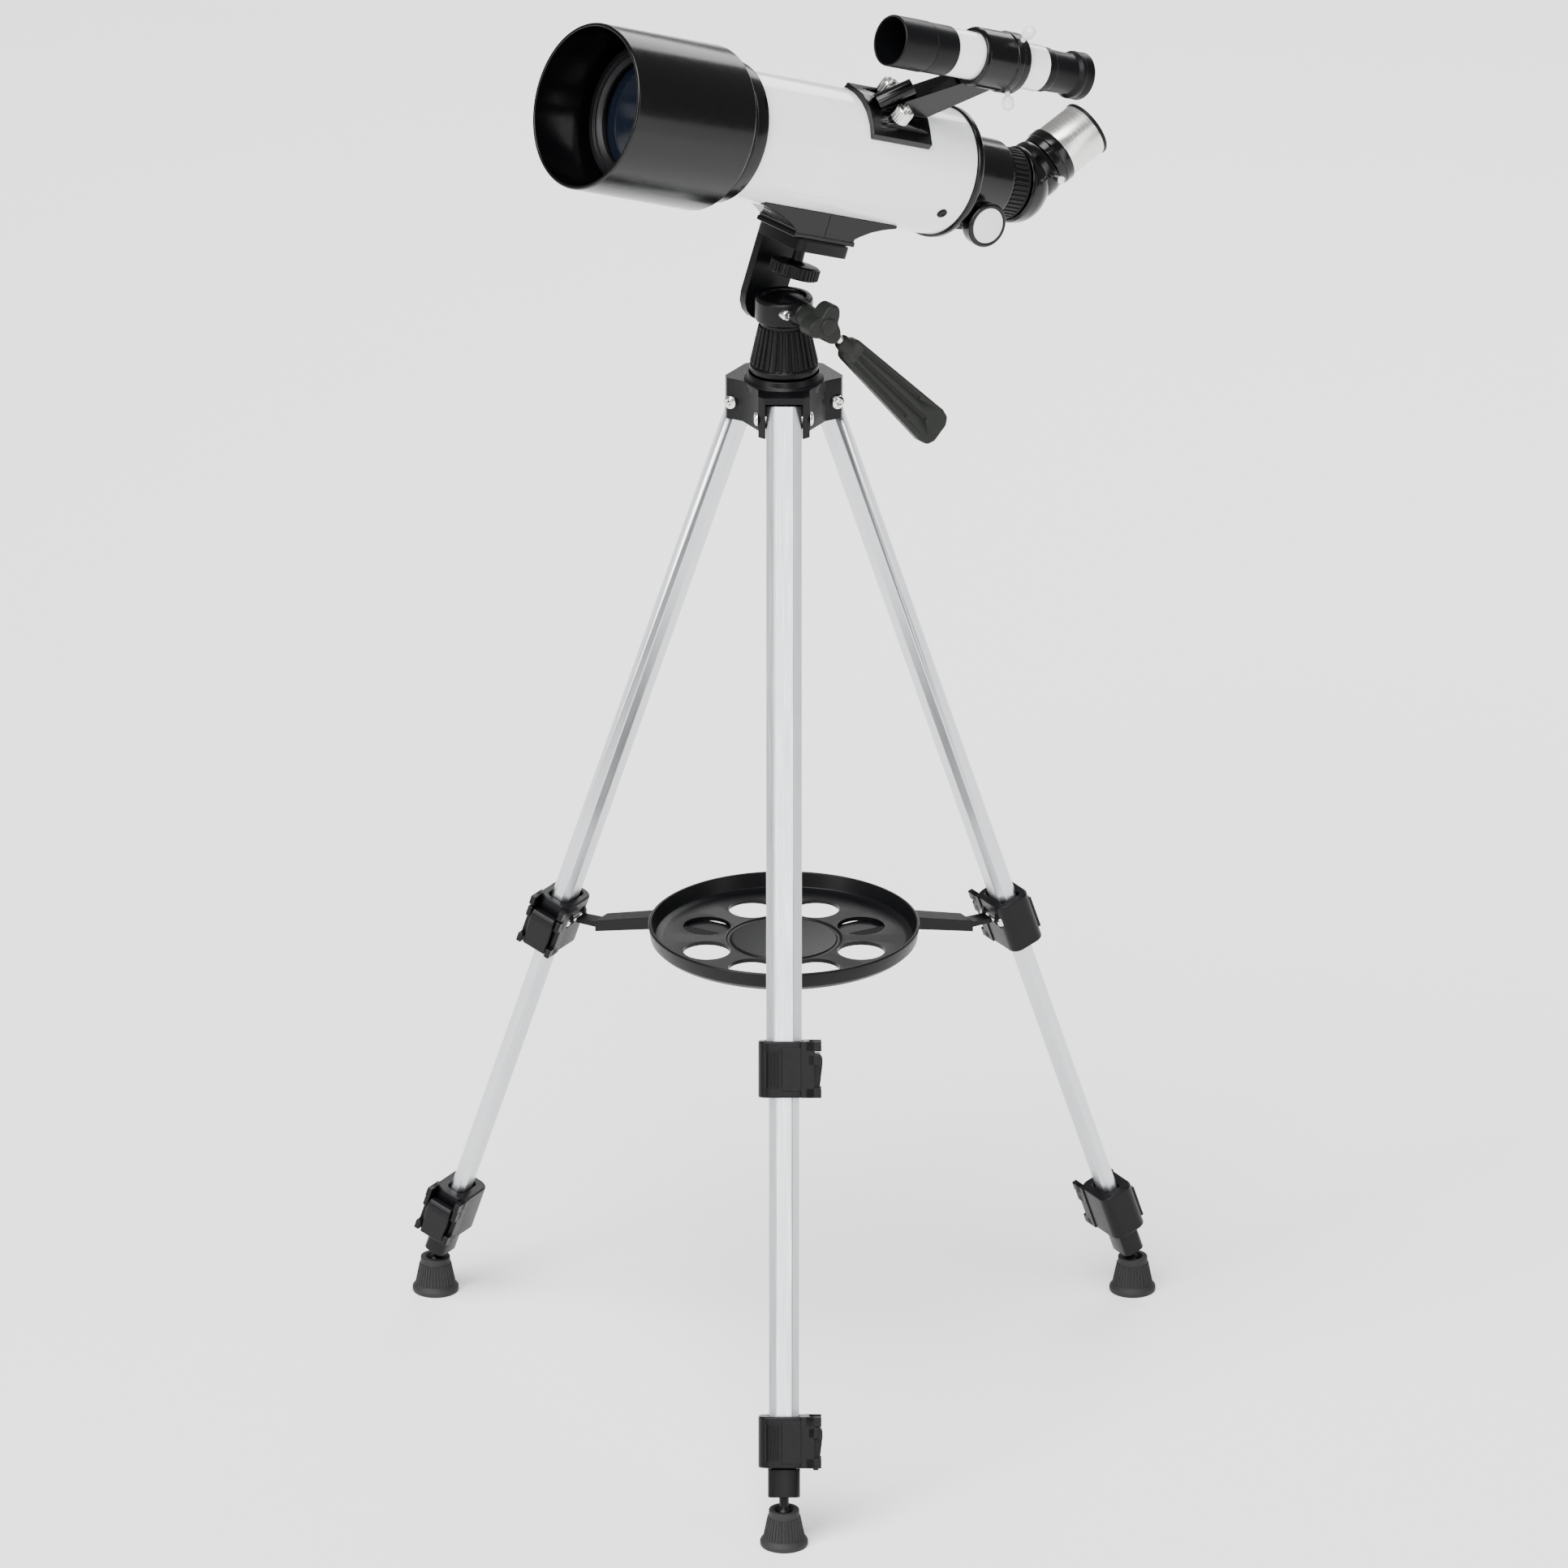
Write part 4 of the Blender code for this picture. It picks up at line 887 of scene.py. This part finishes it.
def make_head(sizes):
    """The pan and tilt head."""
    satin = FINISH["satin_black"]
    collar = mm(
        (661, 0), (661, 20.2), (662, 20.9), (665, 20.9), (666, 19.6), (690.5, 14.2), (692.5, 14.6),
        (692.5, 0),
    )
    cone = lathe_piece("pan_cone", collar, STAND, "satin_black", "Z")
    lean = math.atan2(5.4, 24.5)
    ribs = posts(
        "pan_ribs", STAND @ Matrix.Translation((0, 0, 678.2 * MM)), satin, count=sizes.pan_ribs,
        circle_radius=16.95 * MM, post_radius=1.15 * MM, post_length=24 * MM, post_sides=10,
        lean=-lean,
    )
    hand_over(joined("pan_collar_finished", [cone, ribs]), "collar", "satin_black", "pan_lock_collar")
    drum = mm(
        (0, 0), (0, 16.4), (1.2, 17.5), (13.4, 17.5), (14.2, 17.1), (15.3, 16.2), (15.3, 13.2),
        (13.6, 12.8), (13.6, 0),
    )
    base = lathe_piece("drum", drum, PAN, "satin_black", "Z", edge=0.7 * MM)
    rise = (0, 0, 8.8 * MM)
    boss = mm((4, 0), (4, 8.4), (17, 8.2), (21.8, 7.6), (23, 6.6), (23, 0))
    side = lathe_piece("drum_boss", boss, PAN, "satin_black", "Y", MEDIUM, rise, 0.6 * MM)
    # A bright pan screw sits beside the boss, facing the handle's side.
    head = mm((15.5, 0), (15.5, 3.4), (19.6, 3.4), (20.6, 2.6), (20.6, 1.2), (19.8, 1.0), (19.8, 0))
    screw = lathe_piece(
        "drum_screw", head, PAN, "bright_metal", "Y", SMALL, (9.2 * MM, -3.5 * MM, 9 * MM),
        0.3 * MM,
    )
    hand_over(joined("pan_base_finished", [base, side, screw]), "pan", "satin_black", "pan_base")
    plate = refined_copy("tilt_bracket", 1.0 * MM, satin, "bracket_plate")
    rib = pushed(rounded_box(22 * MM, 36 * MM, 3 * MM), -26.6 * MM, -25.0 * MM, "Y")
    rib.transform(Matrix.Translation((0, 0, 20 * MM)))
    panel = rounded(as_object("plate_panel", settled(rib, TILT), satin), 0.6 * MM)
    pad = pushed(rounded_box(36 * MM, 42 * MM, 5 * MM), 44.6 * MM, 45.3 * MM)
    pad_piece = as_object("platform_pad", settled(pad, TILT), FINISH["rubber"])
    made = joined("tilt_bracket_finished", [plate, panel, pad_piece])
    hand_over(made, "telescope", "satin_black", "tilt_bracket")
    bolt = mm((-29.5, 0), (-29.5, 4.8), (-28.5, 6.2), (-25.5, 6.6), (-25.5, 3), (31, 3), (31, 0))
    made = lathe_piece("tilt_bolt_finished", bolt, TILT, "bright_metal", "Y", MEDIUM)
    hand_over(made, "telescope", "steel", "tilt_bolt")
    knob = mm(
        (18.4, 0), (18.4, 13.4), (19.2, 14.9), (26.2, 14.9), (27, 13.9), (27, 6), (28.4, 3.6),
        (36, 3.2), (54, 3.2), (54, 0),
    )
    disc = lathe_piece("camera_knob", knob, TILT, "satin_black", "Z")
    grip = posts(
        "camera_knob_grip", TILT @ Matrix.Translation((0, 0, 22.8 * MM)), satin, count=36,
        circle_radius=14.8 * MM, post_radius=0.7 * MM, post_length=6.4 * MM, post_sides=8,
    )
    made = joined("camera_screw_finished", [disc, grip])
    hand_over(made, "camera_screw", "satin_black", "camera_screw")


def make_handle():
    """The three-lobed hub, and the pan handle with its rod and long grooves."""
    lobes = []
    for step in range(90):
        angle = math.tau * step / 90
        reach = (10.8 + 2.9 * math.cos(3 * angle + 1.2)) * MM
        lobes.append((reach * math.cos(angle), reach * math.sin(angle)))
    mesh = settled(pushed(lobes, 34 * MM, 46 * MM, "Y"), TILT)
    hub = rounded(as_object("hub_lobes", mesh, FINISH["handle_grey"], 40), 1.6 * MM, 4, 40)
    neck = mm((23.4, 0), (23.4, 7.2), (35, 6.4), (35, 0))
    stem = lathe_piece("hub_neck", neck, TILT, "handle_grey", "Y", MEDIUM)
    crown = mm((45, 0), (45, 5.6), (47, 5.0), (47.4, 0))
    cap = lathe_piece("hub_cap", crown, TILT, "handle_grey", "Y", MEDIUM)
    hand_over(joined("handle_hub_finished", [hub, stem, cap]), "telescope", "satin_black", "handle_hub")
    start = 24
    end = 122
    blade = mm(
        (start, -5.5), (start + 3, -7.6), (end - 9, -12), (end - 3, -10.6), (end, -6), (end, 6),
        (end - 3, 10.6), (end - 9, 12), (start + 3, 7.6), (start, 5.5),
    )
    mesh = settled(pushed(blade, -4.2 * MM, 4.2 * MM, "Y"), HANDLE)
    paddle = rounded(as_object("paddle", mesh, FINISH["handle_grey"]), 2.2 * MM, 5, 20)
    # Three long grooves on each face, the middle one shorter, each with round ends.
    for face in (-1, 1):
        for lane, first, last in ((-1, 34, 92), (0, 34, 106), (1, 34, 92)):
            low = Vector((first * MM, face * 4.4 * MM, lane * 4.6 * MM))
            high = Vector((last * MM, face * 4.4 * MM, lane * 7.0 * MM))
            run = (high - low).length
            middle = (low + high) / 2
            slope = math.atan2(high.z - low.z, high.x - low.x)
            groove = pushed(rounded_box(run, 1.8 * MM, 0.85 * MM), -0.9 * MM, 0.9 * MM)
            spot = Matrix.Translation(middle) @ Matrix.Rotation(-slope, 4, "Y")
            settled(groove, HANDLE @ spot @ Matrix.Rotation(math.radians(90), 4, "X"))
            carved(paddle, as_object("groove", groove, FINISH["handle_grey"]))
    rod = mm((7, 0), (7, 2.8), (26, 2.8), (26, 0))
    bar = lathe_piece("handle_rod", rod, HANDLE, "bright_metal", "X", SMALL)
    ferrule = mm((19, 2.6), (19, 4.6), (26, 5.6), (26, 2.6))
    sleeve = lathe_piece("handle_sleeve", ferrule, HANDLE, "handle_grey", "X", MEDIUM)
    made = joined("pan_handle_finished", [paddle, bar, sleeve])
    hand_over(made, "handle", "satin_black", "pan_handle")


def make_crown():
    """The tripod's crown with its three forks and their screws."""
    body = refined_copy("tripod_crown", 1.9 * MM, FINISH["satin_black"], "crown_body")
    hub = mm((650, 0), (650, 23.4), (655.5, 24.2), (657, 22.8), (660.5, 21.8), (660.5, 0))
    ring = lathe_piece("crown_ring", hub, STAND, "satin_black", "Z", edge=0.6 * MM)
    hand_over(joined("tripod_crown_finished", [body, ring]), "root", "satin_black", "tripod_crown")
    for place in LEGS:
        at = leg_frame(place)
        half = 15.8
        screw = mm(
            (-half - 2.2, 0), (-half - 2.2, 2.6), (-half - 1.6, 4.0), (-half, 4.6), (-half, 2.5),
            (half, 2.5), (half, 4.4), (half + 1.4, 4.0), (half + 2.0, 2.4), (half + 2.0, 0),
        )
        body = lathe_piece("screw", screw, at, "bright_metal", "Y", MEDIUM, edge=0.3 * MM)
        # A cross recess in each end.
        for sign in (-1, 1):
            for turn in (45, 135):
                arm = pushed(rounded_box(5 * MM, 0.9 * MM, 0.3 * MM, 3), -0.8 * MM, 0.8 * MM)
                spot = Matrix.Translation((0, sign * (half + 2.1) * MM, 0))
                spot = spot @ Matrix.Rotation(math.radians(90), 4, "X")
                settled(arm, at @ spot @ Matrix.Rotation(math.radians(turn), 4, "Z"))
                carved(body, as_object("cross", arm, FINISH["bright_metal"]))
        hand_over(body, "root", "steel", "fork_screw_" + place)


def faceted(width, depth, reach_y, reach_x):
    """The outline of a rectangle with its corners cut off."""
    x, y = width / 2, depth / 2
    quarter = [(x, y - reach_y), (x - reach_x, y)]
    points = quarter + [(-u, v) for u, v in reversed(quarter)]
    return points + [(-u, -v) for u, v in points]


def shell(name, outside, inside, low, high, at, material, edge, smooth=20):
    """A straight piece with a bore through it, from two outlines with as many points each."""
    mesh = bmesh.new()
    rings = []
    for height in (low, high):
        for outline in (outside, inside):
            rings.append([mesh.verts.new((x, y, height)) for x, y in outline])
    bottom_out, bottom_in, top_out, top_in = rings
    for here in range(len(outside)):
        after = (here + 1) % len(outside)
        mesh.faces.new((bottom_out[here], bottom_out[after], top_out[after], top_out[here]))
        mesh.faces.new((bottom_in[here], bottom_in[after], top_in[after], top_in[here]))
        mesh.faces.new((bottom_out[here], bottom_out[after], bottom_in[after], bottom_in[here]))
        mesh.faces.new((top_out[here], top_out[after], top_in[after], top_in[here]))
    thing = as_object(name, settled(mesh, at), material, smooth)
    return rounded(thing, edge, 3, smooth)


def tube_shell(name, size, wall, low, high, at, material):
    """A flat-sided tube with cut corners, open at both ends."""
    width, depth = size
    outside = faceted(width, depth, 0.23 * depth, 0.25 * width)
    cut_y = 0.23 * depth - wall / 2
    cut_x = 0.25 * width - wall / 2
    inside = faceted(width - 2 * wall, depth - 2 * wall, cut_y, cut_x)
    return shell(name, outside, inside, low, high, at, material, 0.6 * MM)


def block(name, x_span, y_span, z_span, at, finish, edge=0.5 * MM):
    """A moulded block with rounded edges, from its spans in millimetres."""
    outline = [(x_span[a] * MM, y_span[b] * MM) for a, b in ((0, 0), (1, 0), (1, 1), (0, 1))]
    mesh = settled(pushed(outline, z_span[0] * MM, z_span[1] * MM), at)
    return rounded(as_object(name, mesh, FINISH[finish]), edge)


def make_legs(sizes):
    """Each leg's tubes, clamps, levers and foot."""
    satin = FINISH["satin_black"]
    for place in LEGS:
        at = leg_frame(place)
        metal = FINISH["aluminium_" + place]
        wall = 1.2 * MM
        upper = tube_shell(
            "upper_shell", (13 * MM, 21.4 * MM), wall, -390 * MM, 7.5 * MM, at, metal,
        )
        bore = mm((-20, 0), (-20, 2.9), (20, 2.9), (20, 0))
        carved(upper, lathe_piece("bore", bore, at, "bright_metal", "Y", SMALL, edge=0))
        upper.name = "upper_tube_finished_" + place
        hand_over(upper, "leg_" + place, "leg_aluminium", "upper_tube_" + place)
        mid = tube_shell(
            "mid_tube_finished_" + place, (9.8 * MM, 18.2 * MM), wall, -616 * MM, -330 * MM, at,
            metal,
        )
        hand_over(mid, "mid_" + place, "leg_aluminium", "mid_tube_" + place)
        lower = refined_copy("lower_tube_" + place, 0.6 * MM, satin, "lower_tube_finished_" + place)
        hand_over(lower, "lower_" + place, "satin_black", "lower_tube_" + place)
        clamps = (("upper", "leg_", UPPER_CLAMP_DROP), ("lower", "mid_", LOWER_CLAMP_DROP))
        for level, body, middle in clamps:
            make_clamp(level, body, place, at, middle)
        make_foot(place, sizes)


def make_clamp(level, body, place, at, middle):
    """One clamp: its sleeve, grip ribs, panel, lever knuckles and lever."""
    satin = FINISH["satin_black"]
    centre = at @ Matrix.Translation((0, 0, -middle))
    half = 17 if level == "upper" else 15.5
    bore = (13.6 * MM, 22 * MM) if level == "upper" else (10.4 * MM, 18.8 * MM)
    sleeve = shell(
        "sleeve", rounded_box(23 * MM, 31 * MM, 6.5 * MM, 8), rounded_box(*bore, 3 * MM, 8),
        -half * MM, half * MM, centre, satin, 1.1 * MM, 30,
    )
    pieces = [sleeve]
    # Four grip ribs stand on the outer face, beside a slightly raised panel.
    for index in range(4):
        lane = -11.4 + 2.3 * index
        pieces.append(
            block(
                "grip_rib", (10.5, 12.7), (lane, lane + 1), (-11, 11), centre, "satin_black",
                0.3 * MM,
            ),
        )
    pieces.append(block("panel", (11, 12), (-1.5, 10.5), (-13, 13), centre, "satin_black"))
    for face in (-1, 1):
        near, far = sorted((face * 8.8, face * 12.2))
        pieces.append(block("cheek", (near, far), (10, 18.5), (-half, half), centre, "satin_black"))
        for low, high in ((-half, 6 - half), (half - 6, half)):
            pieces.append(block("knuckle", (near, far), (13, 22.5), (low, high), centre, "satin_black"))
        pieces.append(block("cam_lug", (near, far), (14, 22), (2, 9.5), centre, "satin_black", 1 * MM))
    if level == "upper":
        pieces += [brace_pin(at), *brace_lugs(at)]
    made = joined(level + "_clamp_finished_" + place, pieces)
    hand_over(made, body + place, "satin_black", level + "_clamp_" + place)
    lever = refined_copy(
        level + "_lever_" + place, 0.9 * MM, satin, level + "_lever_finished_" + place, 25,
    )
    hand_over(lever, level + "_lever_" + place, "satin_black", level + "_lever_" + place)


def brace_spot():
    """Where the brace pin is, in the leg's own frame."""
    out = BRACE_RADIUS - FORK_RADIUS
    drop = FORK_HEIGHT - BRACE_HEIGHT
    x = out * math.cos(LEG_SPLAY) - drop * math.sin(LEG_SPLAY)
    return x, -out * math.sin(LEG_SPLAY) - drop * math.cos(LEG_SPLAY)


def brace_lugs(at):
    """The two cheeks that hold the brace pin on the inner side of the upper clamp."""
    x, z = brace_spot()
    outline = [
        (-10 * MM, z + 8 * MM), (-10 * MM, z - 8 * MM), (x - 2 * MM, z - 4 * MM), (x - 4 * MM, z),
        (x - 2 * MM, z + 4 * MM),
    ]
    cheeks = []
    for sign in (-1, 1):
        spans = sorted((sign * 6.4 * MM, sign * 9 * MM))
        mesh = settled(pushed(outline, *spans, "Y"), at)
        cheeks.append(mesh)
    return [rounded(as_object("brace_lug", mesh, FINISH["satin_black"]), 0.5 * MM) for mesh in cheeks]


def brace_pin(at):
    """The bright rivet through the two brace lugs."""
    pin_x, pin_z = brace_spot()
    pin = mm(
        (-11.6, 0), (-11.6, 2.2), (-10.9, 3.0), (-9.2, 3.0), (-9.2, 2.3), (9.2, 2.3), (9.2, 3.0),
        (10.9, 3.0), (11.6, 2.2), (11.6, 0),
    )
    return lathe_piece(
        "brace_pin", pin, at, "bright_metal", "Y", SMALL, (pin_x, 0, pin_z), 0.3 * MM,
    )


def make_foot(place, sizes):
    """A rubber foot: a finely ribbed cone over a flared base."""
    at = ankle_frame(place)
    height = at.translation.z / MM
    outline = mm(
        (-height, 0), (-height, 14.1), (-height + 0.6, 14.5), (-height + 3, 14.5),
        (-height + 4.6, 12.9), (-height + 5.4, 12.0), (-1, 9.3), (3, 9.2), (3, 6.2), (0, 4.9),
        (-5, 4.9), (-5, 0),
    )
    cone = lathe_piece("foot_cone", outline, at, "rubber", "Z", FINE, edge=0.6 * MM)
    low = (5.4 - height) * MM
    high = -1.4 * MM
    lean = math.atan2(2.7 * MM, high - low)
    ribs = posts(
        "foot_ribs", at @ Matrix.Translation((0, 0, (low + high) / 2)), FINISH["rubber"],
        count=sizes.foot_ribs, circle_radius=10.7 * MM, post_radius=0.62 * MM,
        post_length=high - low, post_sides=8, lean=-lean,
    )
    made = joined("foot_finished_" + place, [cone, ribs])
    hand_over(made, "foot_" + place, "foot_rubber", "foot_" + place)


def make_tray(sizes):
    """The perforated accessory tray, its screw and its arms."""
    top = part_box("accessory_tray")[1][2]
    at = STAND @ Matrix.Translation((0, 0, top))
    radius = 83
    outline = mm(
        (-13, 0), (-13, radius - 7), (-11.6, radius - 4), (-9, radius - 1.4), (-0.8, radius),
        (0, radius - 0.6), (0, radius - 2.0), (-9.0, radius - 4.2), (-10.2, radius - 7),
        (-10.5, radius - 9), (-10.5, 35.4), (-11.5, 34.6), (-11.5, 32.8), (-10.5, 32.0), (-10.5, 0),
    )
    tray = lathe_piece("accessory_tray_finished", outline, at, "satin_black", "Z", 160, edge=0.5 * MM)
    cutters = posts(
        "tray_cutters", at @ Matrix.Translation((0, 0, -11 * MM)), FINISH["satin_black"], count=8,
        circle_radius=51 * MM, post_radius=sizes.tray_hole, post_length=20 * MM, post_sides=64,
        start_angle=math.radians(22.5),
    )
    carved(tray, cutters)
    tray.data.shade_smooth()
    tray.data.set_sharp_from_angle(angle=math.radians(32))
    rounded(tray, 0.35 * MM, 2, 60)
    hand_over(tray, "tray", "satin_black", "accessory_tray")
    screw = mm((-24, 0), (-24, 3), (-10.2, 3), (-10.2, 8), (-8, 7.8), (-6, 6.2), (-6, 0))
    stem = lathe_piece("tray_knob", screw, at, "satin_black", "Z", MEDIUM)
    grip = posts(
        "tray_knob_grip", at @ Matrix.Translation((0, 0, -9 * MM)), FINISH["satin_black"], count=20,
        circle_radius=7.6 * MM, post_radius=0.6 * MM, post_length=2.0 * MM, post_sides=8,
    )
    hand_over(joined("tray_screw_finished", [stem, grip]), "tray", "satin_black", "tray_screw")
    for place in LEGS:
        arm = refined_copy(
            "tray_arm_" + place, 0.6 * MM, FINISH["satin_black"], "tray_arm_finished_" + place, 20,
        )
        hand_over(arm, "tray", "satin_black", "tray_arm_" + place)


def finish_hidden_nodes():
    """Gives the solids that stay from the frame the finish of the real piece."""
    for node, finish in (("erecting_prism", "glass"), ("pan_bolt", "bright_metal")):
        thing = frame["nodes"][node]
        thing.data.materials.clear()
        thing.data.materials.append(FINISH[finish])


FLOOR_SIZE = 30
WORLD_STRENGTH = 0.38
SUN_STRENGTH = 6.6
SUN_SPREAD = math.radians(50)
SUN_TURN = (math.radians(28), math.radians(-16), 0)
SENSOR_WIDTH = 36
LAMP_TARGET = Vector((0, 0, 0.6))
# Each lamp's name, place, width and height in metres, and power in watts.
LAMPS = (
    ("key_strip", (-1.5, -1.3, 1.5), (0.35, 1.8), 26),
    ("fill_strip", (1.8, -1.2, 1.3), (0.5, 1.8), 12),
    ("back_panel", (0.6, 2.2, 2.0), (1.4, 1.4), 30),
    ("front_panel", (0.2, -9.6, 3.4), (2.0, 3.2), 200),
)


def make_stage(studio):
    """A pale floor, soft lights and the camera."""
    bpy.ops.mesh.primitive_plane_add(size=FLOOR_SIZE)
    floor = bpy.context.object
    floor.name = "studio_floor"
    # Matt white studio vinyl with a barely visible mottle.
    floor.data.materials.append(
        surface(
            "studio_vinyl", linear("#fbfbfb"), 0.7, grain_mm=4, grain_height_mm=0.02, tone=0.01,
            tone_mm=400,
        ),
    )
    world = bpy.data.worlds.new("studio")
    bpy.context.scene.world = world
    world.use_nodes = True
    world.node_tree.nodes["Background"].inputs["Color"].default_value = (1, 1, 1, 1)
    world.node_tree.nodes["Background"].inputs["Strength"].default_value = WORLD_STRENGTH
    sun_data = bpy.data.lights.new("sky_panel", "SUN")
    sun_data.energy = SUN_STRENGTH
    sun_data.angle = SUN_SPREAD
    sun = bpy.data.objects.new("sky_panel", sun_data)
    bpy.context.scene.collection.objects.link(sun)
    sun.rotation_euler = SUN_TURN
    for name, place, size, power in LAMPS:
        light = bpy.data.lights.new(name, "AREA")
        light.shape = "RECTANGLE"
        light.size = size[0]
        light.size_y = size[1]
        light.energy = power
        lamp = bpy.data.objects.new(name, light)
        bpy.context.scene.collection.objects.link(lamp)
        lamp.location = place
        lamp.rotation_euler = (LAMP_TARGET - Vector(place)).to_track_quat("-Z", "Y").to_euler()
    camera_data = bpy.data.cameras.new("camera")
    camera_data.sensor_width = SENSOR_WIDTH
    camera_data.lens = SENSOR_WIDTH * studio.distance / studio.field
    camera = bpy.data.objects.new("camera", camera_data)
    bpy.context.scene.collection.objects.link(camera)
    aim = Vector((STAND.translation.x, STAND.translation.y, studio.aim_height))
    away = Vector((0, -math.cos(studio.height_angle), math.sin(studio.height_angle)))
    camera.location = aim + away * studio.distance
    camera.rotation_euler = (-away).to_track_quat("-Z", "Y").to_euler()
    bpy.context.scene.camera = camera


# Operators, panel and registration


class FIELDSCOPE_OT_finishes(bpy.types.Operator):
    """Makes the materials of every finish"""

    bl_idname = "fieldscope.finishes"
    bl_label = "Finishes"

    def execute(self, context):
        make_finishes(context.scene.fieldscope_colours)
        return {"FINISHED"}


class FIELDSCOPE_OT_tube(bpy.types.Operator):
    """Makes the tube, the dew shield and the objective"""

    bl_idname = "fieldscope.tube"
    bl_label = "Tube and objective"

    def execute(self, context):
        make_tube()
        return {"FINISHED"}


class FIELDSCOPE_OT_focuser(bpy.types.Operator):
    """Makes the focuser, its draw tube and its knobs"""

    bl_idname = "fieldscope.focuser"
    bl_label = "Focuser"

    def execute(self, context):
        make_focuser(context.scene.fieldscope_sizes)
        return {"FINISHED"}


class FIELDSCOPE_OT_diagonal(bpy.types.Operator):
    """Makes the erecting diagonal and the eyepiece"""

    bl_idname = "fieldscope.diagonal"
    bl_label = "Diagonal and eyepiece"

    def execute(self, context):
        make_diagonal()
        return {"FINISHED"}


class FIELDSCOPE_OT_finder(bpy.types.Operator):
    """Makes the finder, its bracket, thumbscrews and nuts"""

    bl_idname = "fieldscope.finder"
    bl_label = "Finder"

    def execute(self, context):
        make_finder()
        return {"FINISHED"}


class FIELDSCOPE_OT_head(bpy.types.Operator):
    """Makes the saddle and the pan and tilt head"""

    bl_idname = "fieldscope.head"
    bl_label = "Pan and tilt head"

    def execute(self, context):
        make_saddle(context.scene.fieldscope_sizes)
        make_head(context.scene.fieldscope_sizes)
        return {"FINISHED"}


class FIELDSCOPE_OT_handle(bpy.types.Operator):
    """Makes the pan handle and its lobed hub"""

    bl_idname = "fieldscope.handle"
    bl_label = "Pan handle"

    def execute(self, context):
        make_handle()
        return {"FINISHED"}


class FIELDSCOPE_OT_crown(bpy.types.Operator):
    """Makes the tripod's crown and fork screws"""

    bl_idname = "fieldscope.crown"
    bl_label = "Tripod crown"

    def execute(self, context):
        make_crown()
        return {"FINISHED"}


class FIELDSCOPE_OT_legs(bpy.types.Operator):
    """Makes the three legs with their clamps and feet"""

    bl_idname = "fieldscope.legs"
    bl_label = "Legs"

    def execute(self, context):
        make_legs(context.scene.fieldscope_sizes)
        return {"FINISHED"}


class FIELDSCOPE_OT_tray(bpy.types.Operator):
    """Makes the accessory tray, its screw and its arms"""

    bl_idname = "fieldscope.tray"
    bl_label = "Accessory tray"

    def execute(self, context):
        make_tray(context.scene.fieldscope_sizes)
        finish_hidden_nodes()
        return {"FINISHED"}


class FIELDSCOPE_OT_stage(bpy.types.Operator):
    """Sets up the floor, the lights and the camera"""

    bl_idname = "fieldscope.stage"
    bl_label = "Studio"

    def execute(self, context):
        make_stage(context.scene.fieldscope_studio)
        return {"FINISHED"}


OPERATORS = (
    FIELDSCOPE_OT_finishes,
    FIELDSCOPE_OT_tube,
    FIELDSCOPE_OT_focuser,
    FIELDSCOPE_OT_diagonal,
    FIELDSCOPE_OT_finder,
    FIELDSCOPE_OT_head,
    FIELDSCOPE_OT_handle,
    FIELDSCOPE_OT_crown,
    FIELDSCOPE_OT_legs,
    FIELDSCOPE_OT_tray,
    FIELDSCOPE_OT_stage,
)


class FIELDSCOPE_PT_panel(bpy.types.Panel):
    """Lists the makers in the sidebar"""

    bl_idname = "FIELDSCOPE_PT_panel"
    bl_label = "Telescope"
    bl_space_type = "VIEW_3D"
    bl_region_type = "UI"
    bl_category = "Telescope"

    def draw(self, context):
        for operator in OPERATORS:
            self.layout.operator(operator.bl_idname)


GROUPS = {
    "fieldscope_colours": FieldTelescopeColours,
    "fieldscope_sizes": FieldTelescopeSizes,
    "fieldscope_studio": FieldTelescopeStudio,
}


def register():
    for group in GROUPS.values():
        bpy.utils.register_class(group)
    for item in (*OPERATORS, FIELDSCOPE_PT_panel):
        bpy.utils.register_class(item)
    for name, group in GROUPS.items():
        setattr(bpy.types.Scene, name, bpy.props.PointerProperty(type=group))


def unregister():
    for name in GROUPS:
        delattr(bpy.types.Scene, name)
    for item in (FIELDSCOPE_PT_panel, *reversed(OPERATORS), *GROUPS.values()):
        bpy.utils.unregister_class(item)


def main():
    register()
    for operator in OPERATORS:
        area, name = operator.bl_idname.split(".")
        getattr(getattr(bpy.ops, area), name)()


if __name__ == "__main__":
    main()
